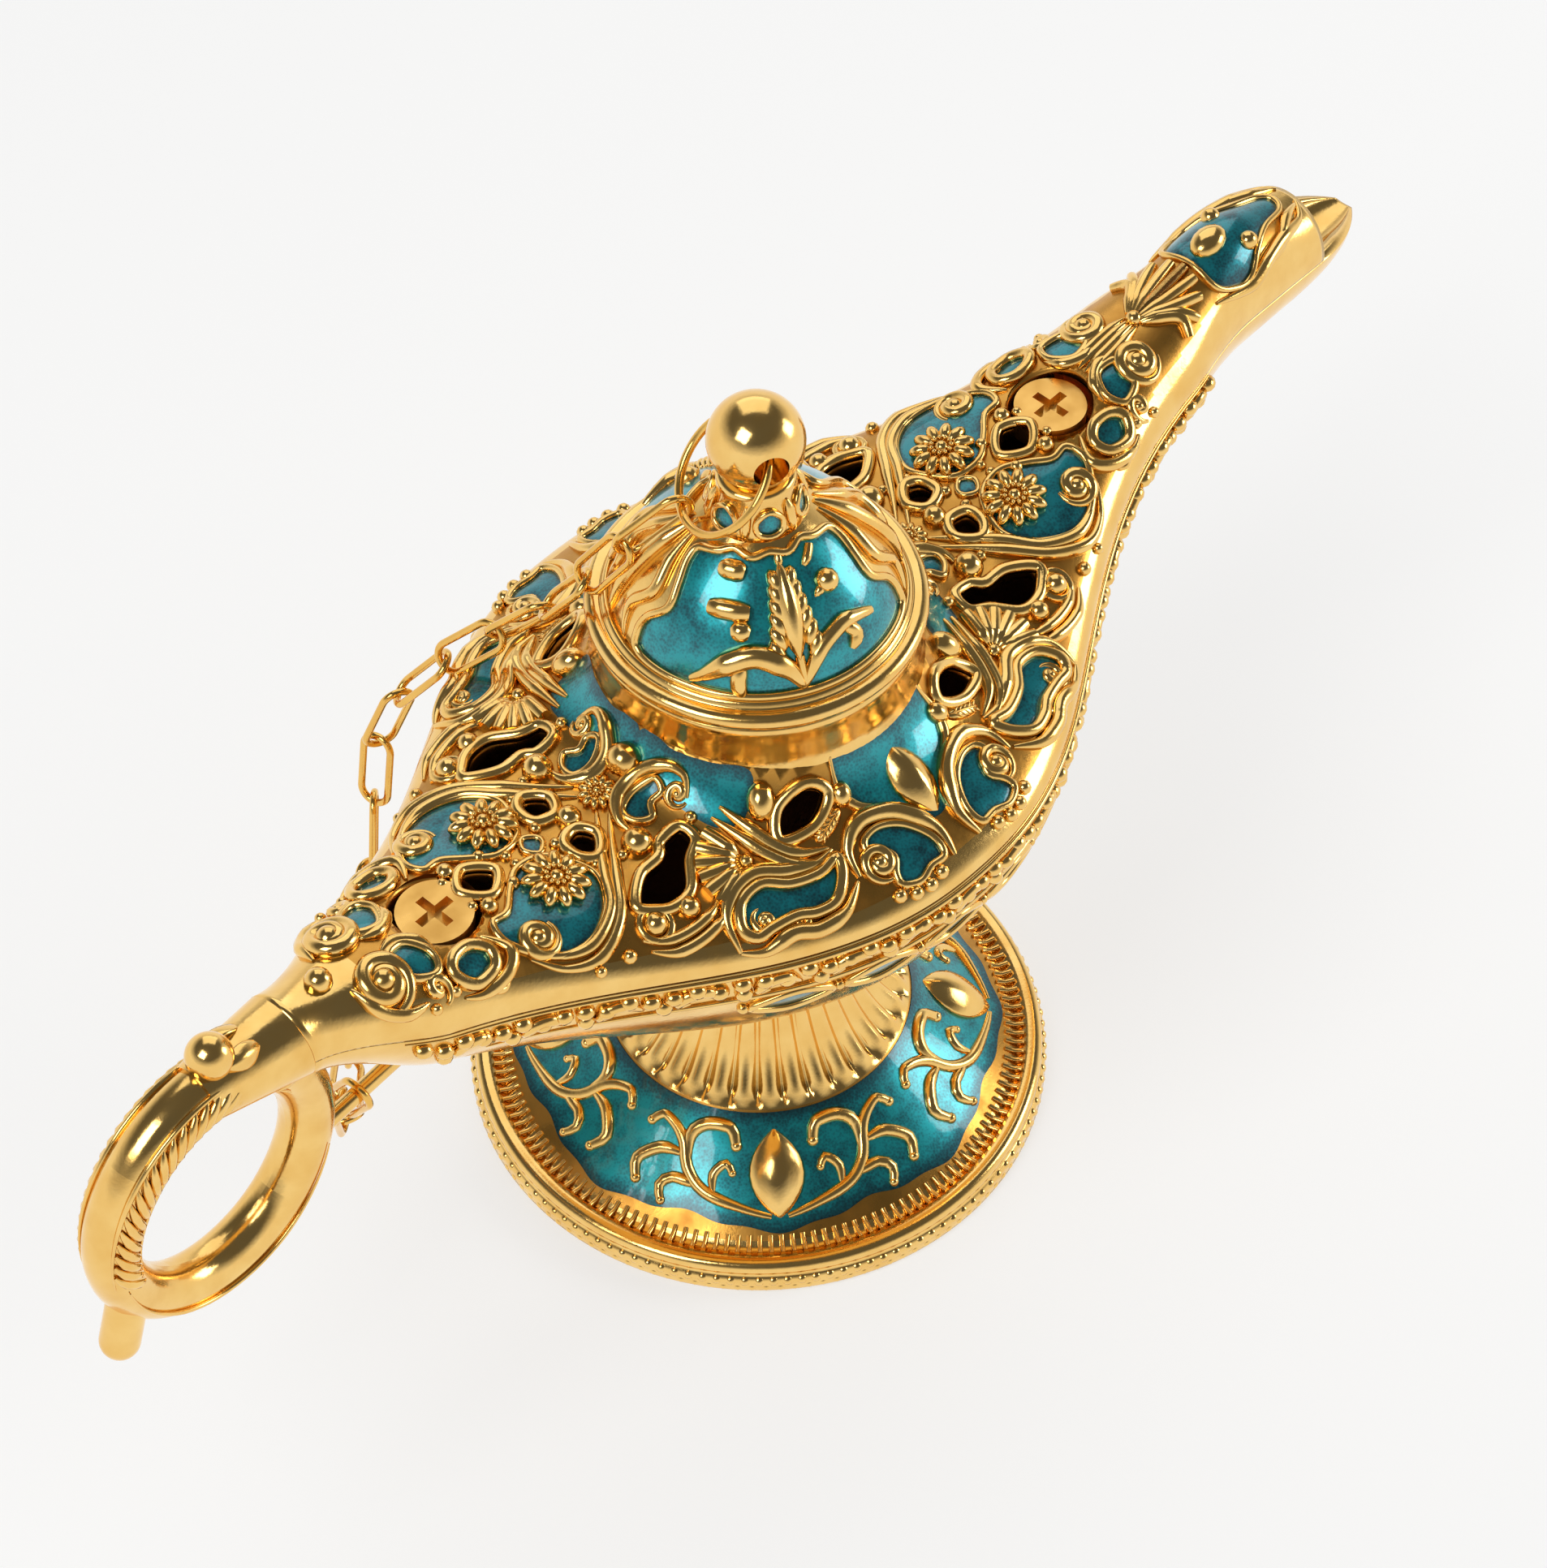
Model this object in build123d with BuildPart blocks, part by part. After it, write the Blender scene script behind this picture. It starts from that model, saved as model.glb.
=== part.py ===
from build123d import *
import os
from math import asin, atan2, cos, degrees, exp, pi, radians, sin

os.makedirs("parts", exist_ok=True)

# Sizes in millimetres. The spout points along +X, the table is Z = 0, the foot's centre is the origin.

# Body: two shells that meet at a rim, drawn out into a tail and a spout
belly_half_width = 19.2       # rim, at the middle
neck_half_width = 4.4         # rim, where the belly has run out
belly_spread = 23.05          # how far from the middle the belly reaches
belly_power = 2.3
rim_height = 37.6             # rim above the table, at the middle
level_rim = 12.0              # the rim is level this far from the middle, then rises
rim_run = 30.0                # length over which it rises
tail_rise = 6.4
tail_rise_power = 1.8
spout_rise = 4.4
shell_wall = 1.2
parting_gap = 0.08            # taken off the upper shell at the rim
hollow_skirt = 2.0            # the hollow is cut this far past the rim

# Tail: the round neck that takes the handle
tail_end = -41.5
tail_taper = 8.5              # length over which the neck draws in to its round end
tail_radius = 2.9

# Spout
spout_half_width = 3.7
spout_start = 38.0            # here the neck becomes the spout
spout_blend = 8.0
lip_start = 50.0              # here the spout starts to close to its tip
lip_length = 11.8
lip_power = 2.4
lip_droop = 2.2
lip_blunt = 0.8               # cut back from the sharp tip
cover_end = 54.0              # end of the upper shell, over the open lip
spout_swell = 1.6
swell_middle = 46.5
swell_spread = 4.5

# Heights of the two shells, measured from the rim at the lamp's long axis
crown_height = 4.1
bowl_depth = 18.6
neck_depth = 4.6
bowl_spread = 24.5
bowl_power = 2.2

# Collar round the mouth
collar_radius = 10.6
mouth_radius = 9.2
collar_top = 10.6             # above the rim
collar_base = 7.8             # above the rim, where the flare starts
flare_reach = 3.6             # how far the flare runs out
flare_foot = 3.0              # above the rim, where the flare meets the shell

# Pierced holes of one quarter: place, length, width, turn
pierced = [
    (15.9, 7.0, 4.6, 2.3, 25.0),
    (7.1, 10.1, 2.6, 1.5, 20.0),
    (18.2, 2.0, 1.7, 1.1, 70.0),
]
axis_hole_place = 25.1
axis_hole_radius = 0.85

# Raised scrollwork of one quarter: each scroll is an arc through three places, with its width
relief_height = 0.9
scrolls = [
    ((26.4, 5.7), (22.9, 7.8), (18.8, 5.2), 1.1),      # shield round the flowers
    ((18.8, 5.2), (17.0, 3.2), (15.5, 1.6), 1.1),
    ((10.6, 8.8), (9.9, 11.4), (7.4, 13.2), 1.1),      # band down from the collar
    ((20.0, 9.6), (17.2, 10.9), (14.6, 10.2), 1.0),    # scroll over the long hole
    ((15.2, 12.6), (13.6, 10.9), (10.4, 12.2), 0.8),   # frames of the enamel pockets
    ((7.0, 15.0), (4.7, 13.0), (1.9, 14.6), 0.8),
    ((1.9, 14.6), (1.1, 16.1), (1.4, 17.4), 0.8),
    ((15.2, 3.8), (13.4, 1.0), (11.2, 2.6), 0.8),      # scroll beside the collar
    ((31.4, 5.2), (29.4, 5.6), (27.6, 4.6), 0.7),
]
curls = [(25.3, 5.3, 1.0), (35.1, 2.3, 1.2), (5.5, 15.5, 0.8), (32.8, 4.3, 0.6)]
curl_width = 0.55
curl_turn = 300.0
relief_beads = [(18.9, 9.0, 0.9), (16.4, 5.0, 0.6), (26.1, 2.0, 0.65), (15.5, 3.9, 0.55)]
flower_place = (21.6, 3.1)
flower_petals = 11
flower_petal_radius = 0.5
flower_petal_ring = 1.65
palmette = [(37.2, 0.5), (38.6, 2.9), (40.2, 3.0), (42.2, 1.7), (42.8, 0.0)]
bud_place = 13.4
bud_half_length = 1.4
bud_half_width = 0.75

# Screws that hold the shells together
screw_place = 28.8
screw_head_radius = 2.45
screw_head_height = 1.3
screw_shank_radius = 1.2
screw_length = 6.8
counterbore_clearance = 0.45
screw_clearance = 0.05
screw_recess = 0.2            # head below the crown
boss_wall = 0.7
post_wall = 1.0
cross_slot_length = 2.7
cross_slot_width = 0.62
cross_slot_depth = 0.7

# Foot
foot_radius = 20.4
foot_edge_height = 1.2
foot_band_radius = 19.9
foot_band_height = 2.35
cone_radius = 17.8
cone_height = 2.3
stem_base_radius = 10.6
stem_base_height = 7.6
stem_top_radius = 6.2
stem_waist_radius = 7.2
stem_waist_height = 12.4
foot_wall = 1.6
foot_land = 1.8               # width of the ring that stands on the table
boss_drop = 0.6               # the bowl's boss reaches this far below the bowl
stem_cap = 4.0                # solid top of the stem
foot_screw_radius = 1.5
foot_screw_head_radius = 2.8
foot_screw_head_height = 1.8
foot_screw_length = 8.0
foot_boss_height = 5.4        # boss above the stem's top, inside the bowl
foot_boss_radius = 3.4

# Handle
ring_back = 6.8               # ring's centre behind the tail's end
ring_centre_drop = 7.6        # below the tail's centre
ring_half_length = 7.9
ring_half_height = 8.6
oval_ease = 0.5               # the oval's end arcs are this much tighter than its half length
ring_wire_radius = 1.75
arm_end_radius = 2.0
tang_radius = 1.2
tang_length = 5.0
tang_slope = 0.35             # fall of the tang along the neck
seam_gap = 0.05
pearl_radius = 1.5
pearl_place = 5.4             # behind the tail's end
nub_radius = 1.3
nub_start = (-7.1, -4.0)      # from the ring's centre
nub_tip = (-8.5, -8.2)
strut_radius = 0.55
strut_drop = 4.1              # below the ring's centre, at the ring
strut_slope = 0.10
strut_end = -24.0             # inside the bowl, where it is cut off

# Lid
lid_gap = 0.02                # between the lid's ring and the collar
lid_ring_radius = 10.9
lid_ring_height = 1.2
dome_radius = 9.3
dome_height = 7.6             # from the ring's top to the cap
dome_bulge_radius = 7.0
dome_bulge_height = 4.5
cap_radius = 3.0
cap_height = 3.3
spigot_fit = 0.10
spigot_length = 3.0
dome_wall = 1.2

# Ball and jump ring
ball_radius = 3.07
ball_sink = 0.4               # the ball sits this deep in the cap
ball_hole_radius = 1.15
ball_hole_turn = 62.3         # the hole's heading from +X
stud_radius = 1.2
stud_length = 3.2
stud_fit = 0.03
jump_ring_radius = 3.9
jump_ring_wire = 0.28
jump_ring_offset = 3.1        # ring's centre from the ball's
jump_ring_lean = 48.0         # below level

# Chain of oval links, from the jump ring over the back rim and round to the strut
link_count = 16
link_pitch = 4.9
link_wire = 0.25
link_half_width = 1.05        # to the middle of the wire
link_end = 0.33               # from a joint to the middle of the wire beyond it
link_twist = 58.7             # each link is turned this much from the one before
hook_turn = 13.5              # first link's place on the jump ring, from its lowest point
hook_play = 0.05
strut_hook = 5.1              # the last link's place on the strut, from the tail's end
strut_play = 0.12
rim_route = [                 # heights from the rim
    (-6.8, 5.3, 16.9),
    (-8.2, 9.4, 10.4),
    (-12.5, 16.7, 1.9),
    (-14.7, 19.5, -3.1),
]
loop_route = [                # heights from the strut; the loop then sinks until the chain fits
    (-16.3, 19.8, -5.0),
    (-19.5, 17.3, -11.2),
    (-25.0, 13.0, -13.7),
    (-31.0, 8.0, -12.1),
    (-34.8, 3.6, -8.0),
    (-36.2, 1.2, -4.0),
]
loop_slack = 0.15             # left in the last two links when the chain is laid out
loop_search = (-12.0, 12.0)   # sinks that are tried
last_way = (-0.05, -0.52, 0.85)
loop_way = (0, 0.6, -0.8)     # the chain's slack lies this way at its last joint but one


def ease(t):
    t = min(max(t, 0.0), 1.0)
    return t * t * (3 - 2 * t)


def half_width(x):
    belly = exp(-((abs(x) / belly_spread) ** belly_power))
    width = neck_half_width + (belly_half_width - neck_half_width) * belly
    width += (spout_half_width - width) * ease((x - spout_start) / spout_blend)
    width *= 1 - max((x - lip_start) / lip_length, 0.0) ** lip_power
    return width + (tail_radius - width) * ease((tail_end + tail_taper - x) / tail_taper)


def rim(x):
    if x < 0:
        return rim_height + tail_rise * (max(-x - level_rim, 0.0) / rim_run) ** tail_rise_power
    droop = lip_droop * max((x - lip_start) / lip_length, 0.0) ** 2
    return rim_height + spout_rise * ease((x - level_rim) / rim_run) - droop


def crown(x):
    height = crown_height + spout_swell * exp(-(((x - swell_middle) / swell_spread) ** 2))
    return height + (tail_radius - height) * ease((tail_end + tail_taper - x) / tail_taper)


def keel(x):
    depth = neck_depth + (bowl_depth - neck_depth) * exp(-((abs(x) / bowl_spread) ** bowl_power))
    depth *= 1 - max((x - lip_start) / lip_length, 0.0) ** 2
    return depth + (tail_radius - depth) * ease((tail_end + tail_taper - x) / tail_taper)


def cross_plane(x):
    return Plane(origin=(x, 0, 0), x_dir=(0, 1, 0), z_dir=(1, 0, 0))


# Cross-section between the rim and a half-round arch, with a straight skirt past the rim
def arch(x, inset, height, skirt=0.0, lift=0.0):
    half = half_width(x) - inset
    base = rim(x) + lift
    side = 1 if height > 0 else -1
    foot = base - side * skirt
    with BuildSketch(cross_plane(x)) as section:
        with BuildLine():
            EllipticalCenterArc((0, base), half, abs(height), 0, arc_size=180 * side)
            if skirt:
                Polyline((-half, base), (-half, foot), (half, foot), (half, base))
            else:
                Line((-half, base), (half, base))
        make_face()
    return section.sketch


# Places along the lamp where a cross-section is drawn
neck_stations = [tail_end + tail_taper * 0.4, tail_end + tail_taper * 0.9]
belly_stations = neck_stations + [x for x in range(-40, 51, 5) if x > tail_end + tail_taper + 2]
lip_tip = lip_start + lip_length - lip_blunt
lower_stations = [tail_end] + belly_stations + [cover_end, 57.0, 59.5, lip_tip]
upper_stations = [tail_end] + belly_stations + [cover_end]
hollow_stations = [tail_end - 1.0, tail_end + 1.5] + belly_stations
lip_hollow = [cover_end, 58.0]

bowl_bottom = rim_height - bowl_depth
stem_top = bowl_bottom - boss_drop
screw_rim = {x: rim(x) for x in (-screw_place, screw_place)}
screw_seat = {x: rim(x) + crown(x) - screw_recess - screw_head_height for x in screw_rim}

# Solid outline of the bowl, which the handle's strut is cut to
with BuildPart() as bowl_outline:
    loft([arch(x, 0, -keel(x)) for x in lower_stations])

# Bowl with its lip, two screw posts and the boss for the foot
with BuildPart() as lower_shell:
    add(bowl_outline.part)
    hollow = [arch(x, shell_wall, shell_wall - keel(x), hollow_skirt) for x in hollow_stations + lip_hollow]
    loft(hollow, mode=Mode.SUBTRACT)
    for x in screw_rim:
        with BuildSketch(Plane.XY.offset(screw_rim[x] - keel(x) - post_wall)):
            with Locations((x, 0)):
                Circle(screw_shank_radius + post_wall)
        extrude(amount=keel(x) + post_wall - parting_gap)
    add(bowl_outline.part, mode=Mode.INTERSECT)
    with Locations((0, 0, stem_top)):
        Cylinder(stem_top_radius, boss_drop + shell_wall, align=(Align.CENTER, Align.CENTER, Align.MIN))
        Cylinder(foot_boss_radius, foot_boss_height, align=(Align.CENTER, Align.CENTER, Align.MIN))
    for x in screw_rim:
        with BuildSketch(Plane.XY.offset(screw_seat[x] - screw_length - screw_clearance)):
            with Locations((x, 0)):
                Circle(screw_shank_radius + screw_clearance)
        extrude(amount=screw_length, mode=Mode.SUBTRACT)
    with BuildSketch(Plane.XY.offset(stem_top)):
        Circle(foot_screw_radius + screw_clearance)
    extrude(amount=foot_boss_height - post_wall, mode=Mode.SUBTRACT)

# Pierced cover with the collar and the top of the spout
flare_corner = (collar_radius, rim_height + collar_base)
flare_end = (collar_radius + flare_reach, rim_height + flare_foot)
with BuildPart() as relief:
    with BuildSketch(Plane.XY.offset(rim_height)):
        for end in (1, -1):
            for side in (1, -1):
                for *places, width in scrolls:
                    SlotArc(ThreePointArc(*[(end * x, side * y) for x, y in places]), width)
                for x, y, radius in curls:
                    SlotArc(CenterArc((end * x, side * y), radius, 90 * side, curl_turn), curl_width)
                for x, y, radius in relief_beads:
                    with Locations((end * x, side * y)):
                        Circle(radius)
                with Locations((end * flower_place[0], side * flower_place[1])):
                    Circle(flower_petal_ring)
                    with PolarLocations(flower_petal_ring, flower_petals):
                        Circle(flower_petal_radius)
        with Locations((0, bud_place), (0, -bud_place)):
            Ellipse(bud_half_width, bud_half_length)
        Polygon(*palmette, *[(x, -y) for x, y in palmette[-2::-1]], align=None)
    extrude(amount=crown_height + spout_rise + tail_rise + relief_height)
    raised = relief_height + parting_gap
    loft([arch(x, 0, crown(x), relief_height / 2, raised) for x in upper_stations], mode=Mode.INTERSECT)

with BuildPart() as upper_shell:
    loft([arch(x, 0, crown(x), lift=parting_gap) for x in upper_stations])
    add(relief.part)
    hollow_run = hollow_stations + [cover_end + 1.0]
    loft([arch(x, shell_wall, crown(x) - shell_wall, hollow_skirt) for x in hollow_run], mode=Mode.SUBTRACT)
    with BuildSketch(Plane.XZ):
        with BuildLine():
            Polyline(
                flare_corner,
                (collar_radius, rim_height + collar_top),
                (mouth_radius, rim_height + collar_top),
                (mouth_radius, rim_height + crown_height - shell_wall),
                (flare_end[0], rim_height + crown_height - shell_wall),
                flare_end,
            )
            TangentArc(flare_corner, flare_end, tangent=(0, -1))
        make_face()
    revolve(axis=Axis.Z)
    for x in screw_rim:
        boss_radius = screw_head_radius + counterbore_clearance + boss_wall
        with BuildSketch(Plane.XY.offset(screw_rim[x] + parting_gap)):
            with Locations((x, 0)):
                Circle(boss_radius)
        extrude(amount=crown(x) - parting_gap)
    with BuildSketch(Plane.XY.offset(rim_height - 1.0)):
        Circle(mouth_radius)
    extrude(amount=collar_top + 2.0, mode=Mode.SUBTRACT)
    for x in screw_rim:
        with BuildSketch(Plane.XY.offset(screw_seat[x])):
            with Locations((x, 0)):
                Circle(screw_head_radius + counterbore_clearance)
        extrude(amount=crown_height, mode=Mode.SUBTRACT)
        with BuildSketch(Plane.XY.offset(screw_rim[x] - 1.0)):
            with Locations((x, 0)):
                Circle(screw_shank_radius + screw_clearance)
        extrude(amount=crown_height, mode=Mode.SUBTRACT)
    with BuildSketch(Plane.XY.offset(rim_height)):
        for x, y, length, width, turn in pierced:
            for side in (1, -1):
                for end in (1, -1):
                    with Locations(Location((end * x, side * y, 0), (0, 0, 1), -end * side * turn)):
                        SlotOverall(length, width)
        with Locations((axis_hole_place, 0), (-axis_hole_place, 0)):
            Circle(axis_hole_radius)
    extrude(amount=crown_height + flare_reach, mode=Mode.SUBTRACT)
    add(bowl_outline.part, mode=Mode.SUBTRACT)

# Screws of the shells
with BuildPart() as shell_screws:
    for x in screw_rim:
        with BuildSketch(Plane.XY.offset(screw_seat[x])):
            with Locations((x, 0)):
                Circle(screw_head_radius)
        extrude(amount=screw_head_height)
        with BuildSketch(Plane.XY.offset(screw_seat[x])):
            with Locations((x, 0)):
                Circle(screw_shank_radius)
        extrude(amount=-screw_length)
        with BuildSketch(Plane.XY.offset(screw_seat[x] + screw_head_height)):
            with Locations((x, 0)):
                Rectangle(cross_slot_length, cross_slot_width)
                Rectangle(cross_slot_width, cross_slot_length)
        extrude(amount=-cross_slot_depth, mode=Mode.SUBTRACT)

# Foot: hollow pedestal under a solid stem
with BuildPart() as foot:
    with BuildSketch(Plane.XZ):
        with BuildLine():
            Polyline((0, stem_top), (stem_top_radius, stem_top))
            Spline(
                (stem_top_radius, stem_top),
                (stem_waist_radius, stem_waist_height),
                (stem_base_radius, stem_base_height),
            )
            Polyline(
                (stem_base_radius, stem_base_height),
                (cone_radius, cone_height),
                (foot_band_radius, foot_band_height),
                (foot_radius, foot_edge_height),
                (foot_radius, 0),
                (foot_radius - foot_land, 0),
                (cone_radius - foot_wall, cone_height - foot_wall / 2),
                (stem_base_radius - foot_wall, stem_base_height - foot_wall),
                (stem_waist_radius - foot_wall, stem_waist_height),
                (stem_top_radius - foot_wall, stem_top - stem_cap),
                (0, stem_top - stem_cap),
                (0, stem_top),
            )
        make_face()
    revolve(axis=Axis.Z)
    with BuildSketch(Plane.XY.offset(stem_top)):
        Circle(foot_screw_radius + screw_clearance)
    extrude(amount=-stem_cap, mode=Mode.SUBTRACT)

# Screw that draws the foot up against the bowl
foot_screw_seat = stem_top - stem_cap
with BuildPart() as foot_screw:
    with BuildSketch(Plane.XY.offset(foot_screw_seat)):
        Circle(foot_screw_head_radius)
    extrude(amount=-foot_screw_head_height)
    with BuildSketch(Plane.XY.offset(foot_screw_seat)):
        Circle(foot_screw_radius)
    extrude(amount=foot_screw_length)
    with BuildSketch(Plane.XY.offset(foot_screw_seat - foot_screw_head_height)):
        Rectangle(cross_slot_length, cross_slot_width)
        Rectangle(cross_slot_width, cross_slot_length)
    extrude(amount=cross_slot_depth, mode=Mode.SUBTRACT)

# Handle: ring, arm with its pearl, tang in the neck, tail nub and strut
tail_height = rim(tail_end)
ring_height = tail_height - ring_centre_drop
ring_centre_x = tail_end - ring_back
# The ring is an oval of four arcs
end_radius = ring_half_length - oval_ease
end_shift = ring_half_height - end_radius
side_shift = (end_shift ** 2 - oval_ease ** 2) / (2 * oval_ease)
side_radius = ring_half_length + side_shift
arc_join = degrees(atan2(end_shift, side_shift))
ring_top = (ring_centre_x, ring_height + ring_half_height)
arm_start = tail_end - seam_gap
tang_plane = Plane(origin=(arm_start, 0, tail_height), x_dir=(0, 1, 0), z_dir=(1, 0, -tang_slope))
strut_height = ring_height - strut_drop
ring_side = ring_half_length * cos(asin(strut_drop / ring_half_height))
strut_start = ring_centre_x + ring_side + ring_wire_radius / 2
strut_plane = Plane(origin=(strut_start, 0, strut_height), x_dir=(0, 1, 0), z_dir=(1, 0, strut_slope))
ring_middle_point = Vector(ring_centre_x, 0, ring_height)
nub_foot = ring_middle_point + Vector(nub_start[0], 0, nub_start[1])
nub_end = ring_middle_point + Vector(nub_tip[0], 0, nub_tip[1])
nub_plane = Plane(origin=nub_foot, x_dir=(0, 1, 0), z_dir=nub_end - nub_foot)
pearl_x = tail_end - pearl_place
with BuildPart() as handle:
    with BuildSketch(strut_plane):
        Circle(strut_radius)
    extrude(amount=strut_end - strut_start)
    add(bowl_outline.part, mode=Mode.SUBTRACT)
    with BuildLine(Plane.XZ):
        CenterArc((ring_centre_x + side_shift, ring_height), side_radius, 180, -arc_join)
        CenterArc((ring_centre_x, ring_height + end_shift), end_radius, 180 - arc_join, 2 * arc_join - 180)
        CenterArc((ring_centre_x - side_shift, ring_height), side_radius, arc_join, -2 * arc_join)
        CenterArc((ring_centre_x, ring_height - end_shift), end_radius, -arc_join, 2 * arc_join - 180)
        CenterArc((ring_centre_x + side_shift, ring_height), side_radius, 180 + arc_join, -arc_join)
    with BuildSketch(Plane.XY.offset(ring_height)):
        with Locations((ring_centre_x - ring_half_length, 0)):
            Circle(ring_wire_radius)
    sweep()
    with BuildSketch(cross_plane(arm_start)):
        with Locations((0, tail_height)):
            Circle(tail_radius)
    with BuildSketch(cross_plane(ring_top[0])):
        with Locations((0, ring_top[1])):
            Circle(arm_end_radius)
    loft()
    with Locations((pearl_x, 0, tail_height + tail_radius + pearl_radius / 3)):
        Sphere(pearl_radius)
    with BuildSketch(nub_plane):
        Circle(nub_radius)
    extrude(amount=(nub_end - nub_foot).length)
    with Locations(nub_end):
        Sphere(nub_radius)
    add(bowl_outline.part, mode=Mode.SUBTRACT)
    with BuildSketch(tang_plane):
        Circle(tang_radius)
    extrude(amount=tang_length)

# Lid: rolled ring, hollow dome, cap, and a spigot that sits in the mouth
lid_seat = rim_height + collar_top + lid_gap
dome_foot = lid_seat + lid_ring_height
cap_foot = dome_foot + dome_height
cap_top = cap_foot + cap_height
spigot_radius = mouth_radius - spigot_fit
with BuildPart() as lid:
    with BuildSketch(Plane.XZ):
        with BuildLine():
            Polyline(
                (0, cap_top),
                (cap_radius - dome_wall / 2, cap_top),
                (cap_radius, cap_foot),
            )
            Spline(
                (cap_radius, cap_foot),
                (dome_bulge_radius, dome_foot + dome_bulge_height),
                (dome_radius, dome_foot),
            )
            Line((dome_radius, dome_foot), (lid_ring_radius - lid_ring_height / 2, dome_foot))
            ThreePointArc(
                (lid_ring_radius - lid_ring_height / 2, dome_foot),
                (lid_ring_radius, lid_seat + lid_ring_height / 2),
                (lid_ring_radius - lid_ring_height / 2, lid_seat),
            )
            Polyline(
                (lid_ring_radius - lid_ring_height / 2, lid_seat),
                (spigot_radius, lid_seat),
                (spigot_radius, lid_seat - spigot_length),
                (spigot_radius - dome_wall, lid_seat - spigot_length),
                (spigot_radius - dome_wall, dome_foot),
            )
            Spline(
                (spigot_radius - dome_wall, dome_foot),
                (dome_bulge_radius - dome_wall, dome_foot + dome_bulge_height - dome_wall / 2),
                (cap_radius - dome_wall / 2, cap_foot - dome_wall),
            )
            Polyline(
                (cap_radius - dome_wall / 2, cap_foot - dome_wall),
                (0, cap_foot - dome_wall),
                (0, cap_top),
            )
        make_face()
    revolve(axis=Axis.Z)
    with BuildSketch(Plane.XY.offset(cap_top)):
        Circle(stud_radius + stud_fit)
    extrude(amount=-cap_height - dome_wall, mode=Mode.SUBTRACT)
    with Locations((0, 0, cap_top - ball_sink + ball_radius)):
        Sphere(ball_radius + stud_fit, mode=Mode.SUBTRACT)

# Ball with its stud and cross hole
ball_height = cap_top - ball_sink + ball_radius
hole_heading = Vector(cos(radians(ball_hole_turn)), sin(radians(ball_hole_turn)), 0)
with BuildPart() as finial_ball:
    with Locations((0, 0, ball_height)):
        Sphere(ball_radius)
    with BuildSketch(Plane.XY.offset(ball_height - ball_radius + ball_sink)):
        Circle(stud_radius)
    extrude(amount=-stud_length)
    with BuildSketch(Plane(origin=(0, 0, ball_height), z_dir=hole_heading)):
        Circle(ball_hole_radius)
    extrude(amount=ball_radius, both=True, mode=Mode.SUBTRACT)

# Jump ring, hung in the ball's hole
lean = radians(jump_ring_lean)
lean_side = Vector(-hole_heading.Y, hole_heading.X, 0)
ring_hang = lean_side * cos(lean) + Vector(0, 0, -sin(lean))
ring_middle = Vector(0, 0, ball_height) + ring_hang * jump_ring_offset
with BuildPart() as finial_ring:
    wire_middle = ring_middle + ring_hang * jump_ring_radius
    with BuildSketch(Plane(origin=wire_middle, x_dir=ring_hang, z_dir=hole_heading)):
        Circle(jump_ring_wire)
    revolve(axis=Axis(ring_middle, ring_hang.cross(hole_heading)))

# Chain: the first link hooks on the jump ring, the last one round the strut
hook_angle = radians(hook_turn)
hook_way = ring_hang * cos(hook_angle) + hole_heading * sin(hook_angle)
hook = ring_middle + hook_way * jump_ring_radius
rim_points = [Vector(x, y, rim_height + up) for x, y, up in rim_route]
first_way = (rim_points[0] - hook).normalized()
first_joint = hook - first_way * (jump_ring_wire + link_wire + hook_play - link_end)
strut_x = tail_end + strut_hook
strut_axis = Vector(strut_x, 0, strut_height + strut_slope * (strut_x - strut_start))
last_reach = strut_radius + link_wire + strut_play - link_end
last_joint = strut_axis + Vector(*last_way).normalized() * last_reach


# Each joint is one pitch on from the last, along a route whose loop hangs lower by the sink
def lay_chain(sink):
    loop_points = []
    for step, (x, y, up) in enumerate(loop_route):
        share = sin(pi * (step + 1) / (len(loop_route) + 1))
        loop_points.append(Vector(x, y, strut_height + up - sink * share))
    with BuildLine() as route:
        Spline([first_joint] + rim_points + loop_points)
    laid = [first_joint]
    reached = 0.0
    while len(laid) < link_count - 1:
        near = reached
        far = 1.0
        while far - near > 1e-8:
            middle = (near + far) / 2
            if (route.line @ middle - laid[-1]).length < link_pitch:
                near = middle
            else:
                far = middle
        reached = far
        laid.append(route.line @ reached)
    return laid


# The deeper the loop, the further from the strut the last two links start
shallow, deep = loop_search
while deep - shallow > 1e-4:
    sink = (shallow + deep) / 2
    joints = lay_chain(sink)
    span = last_joint - joints[-1]
    if span.length > 2 * link_pitch - loop_slack:
        deep = sink
    else:
        shallow = sink

slack = Vector(*loop_way)
slack = (slack - span * (slack.dot(span) / span.dot(span))).normalized()
slack_depth = (link_pitch ** 2 - span.dot(span) / 4) ** 0.5
joints.append(joints[-1] + span * 0.5 + slack * slack_depth)
joints.append(last_joint)

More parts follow.
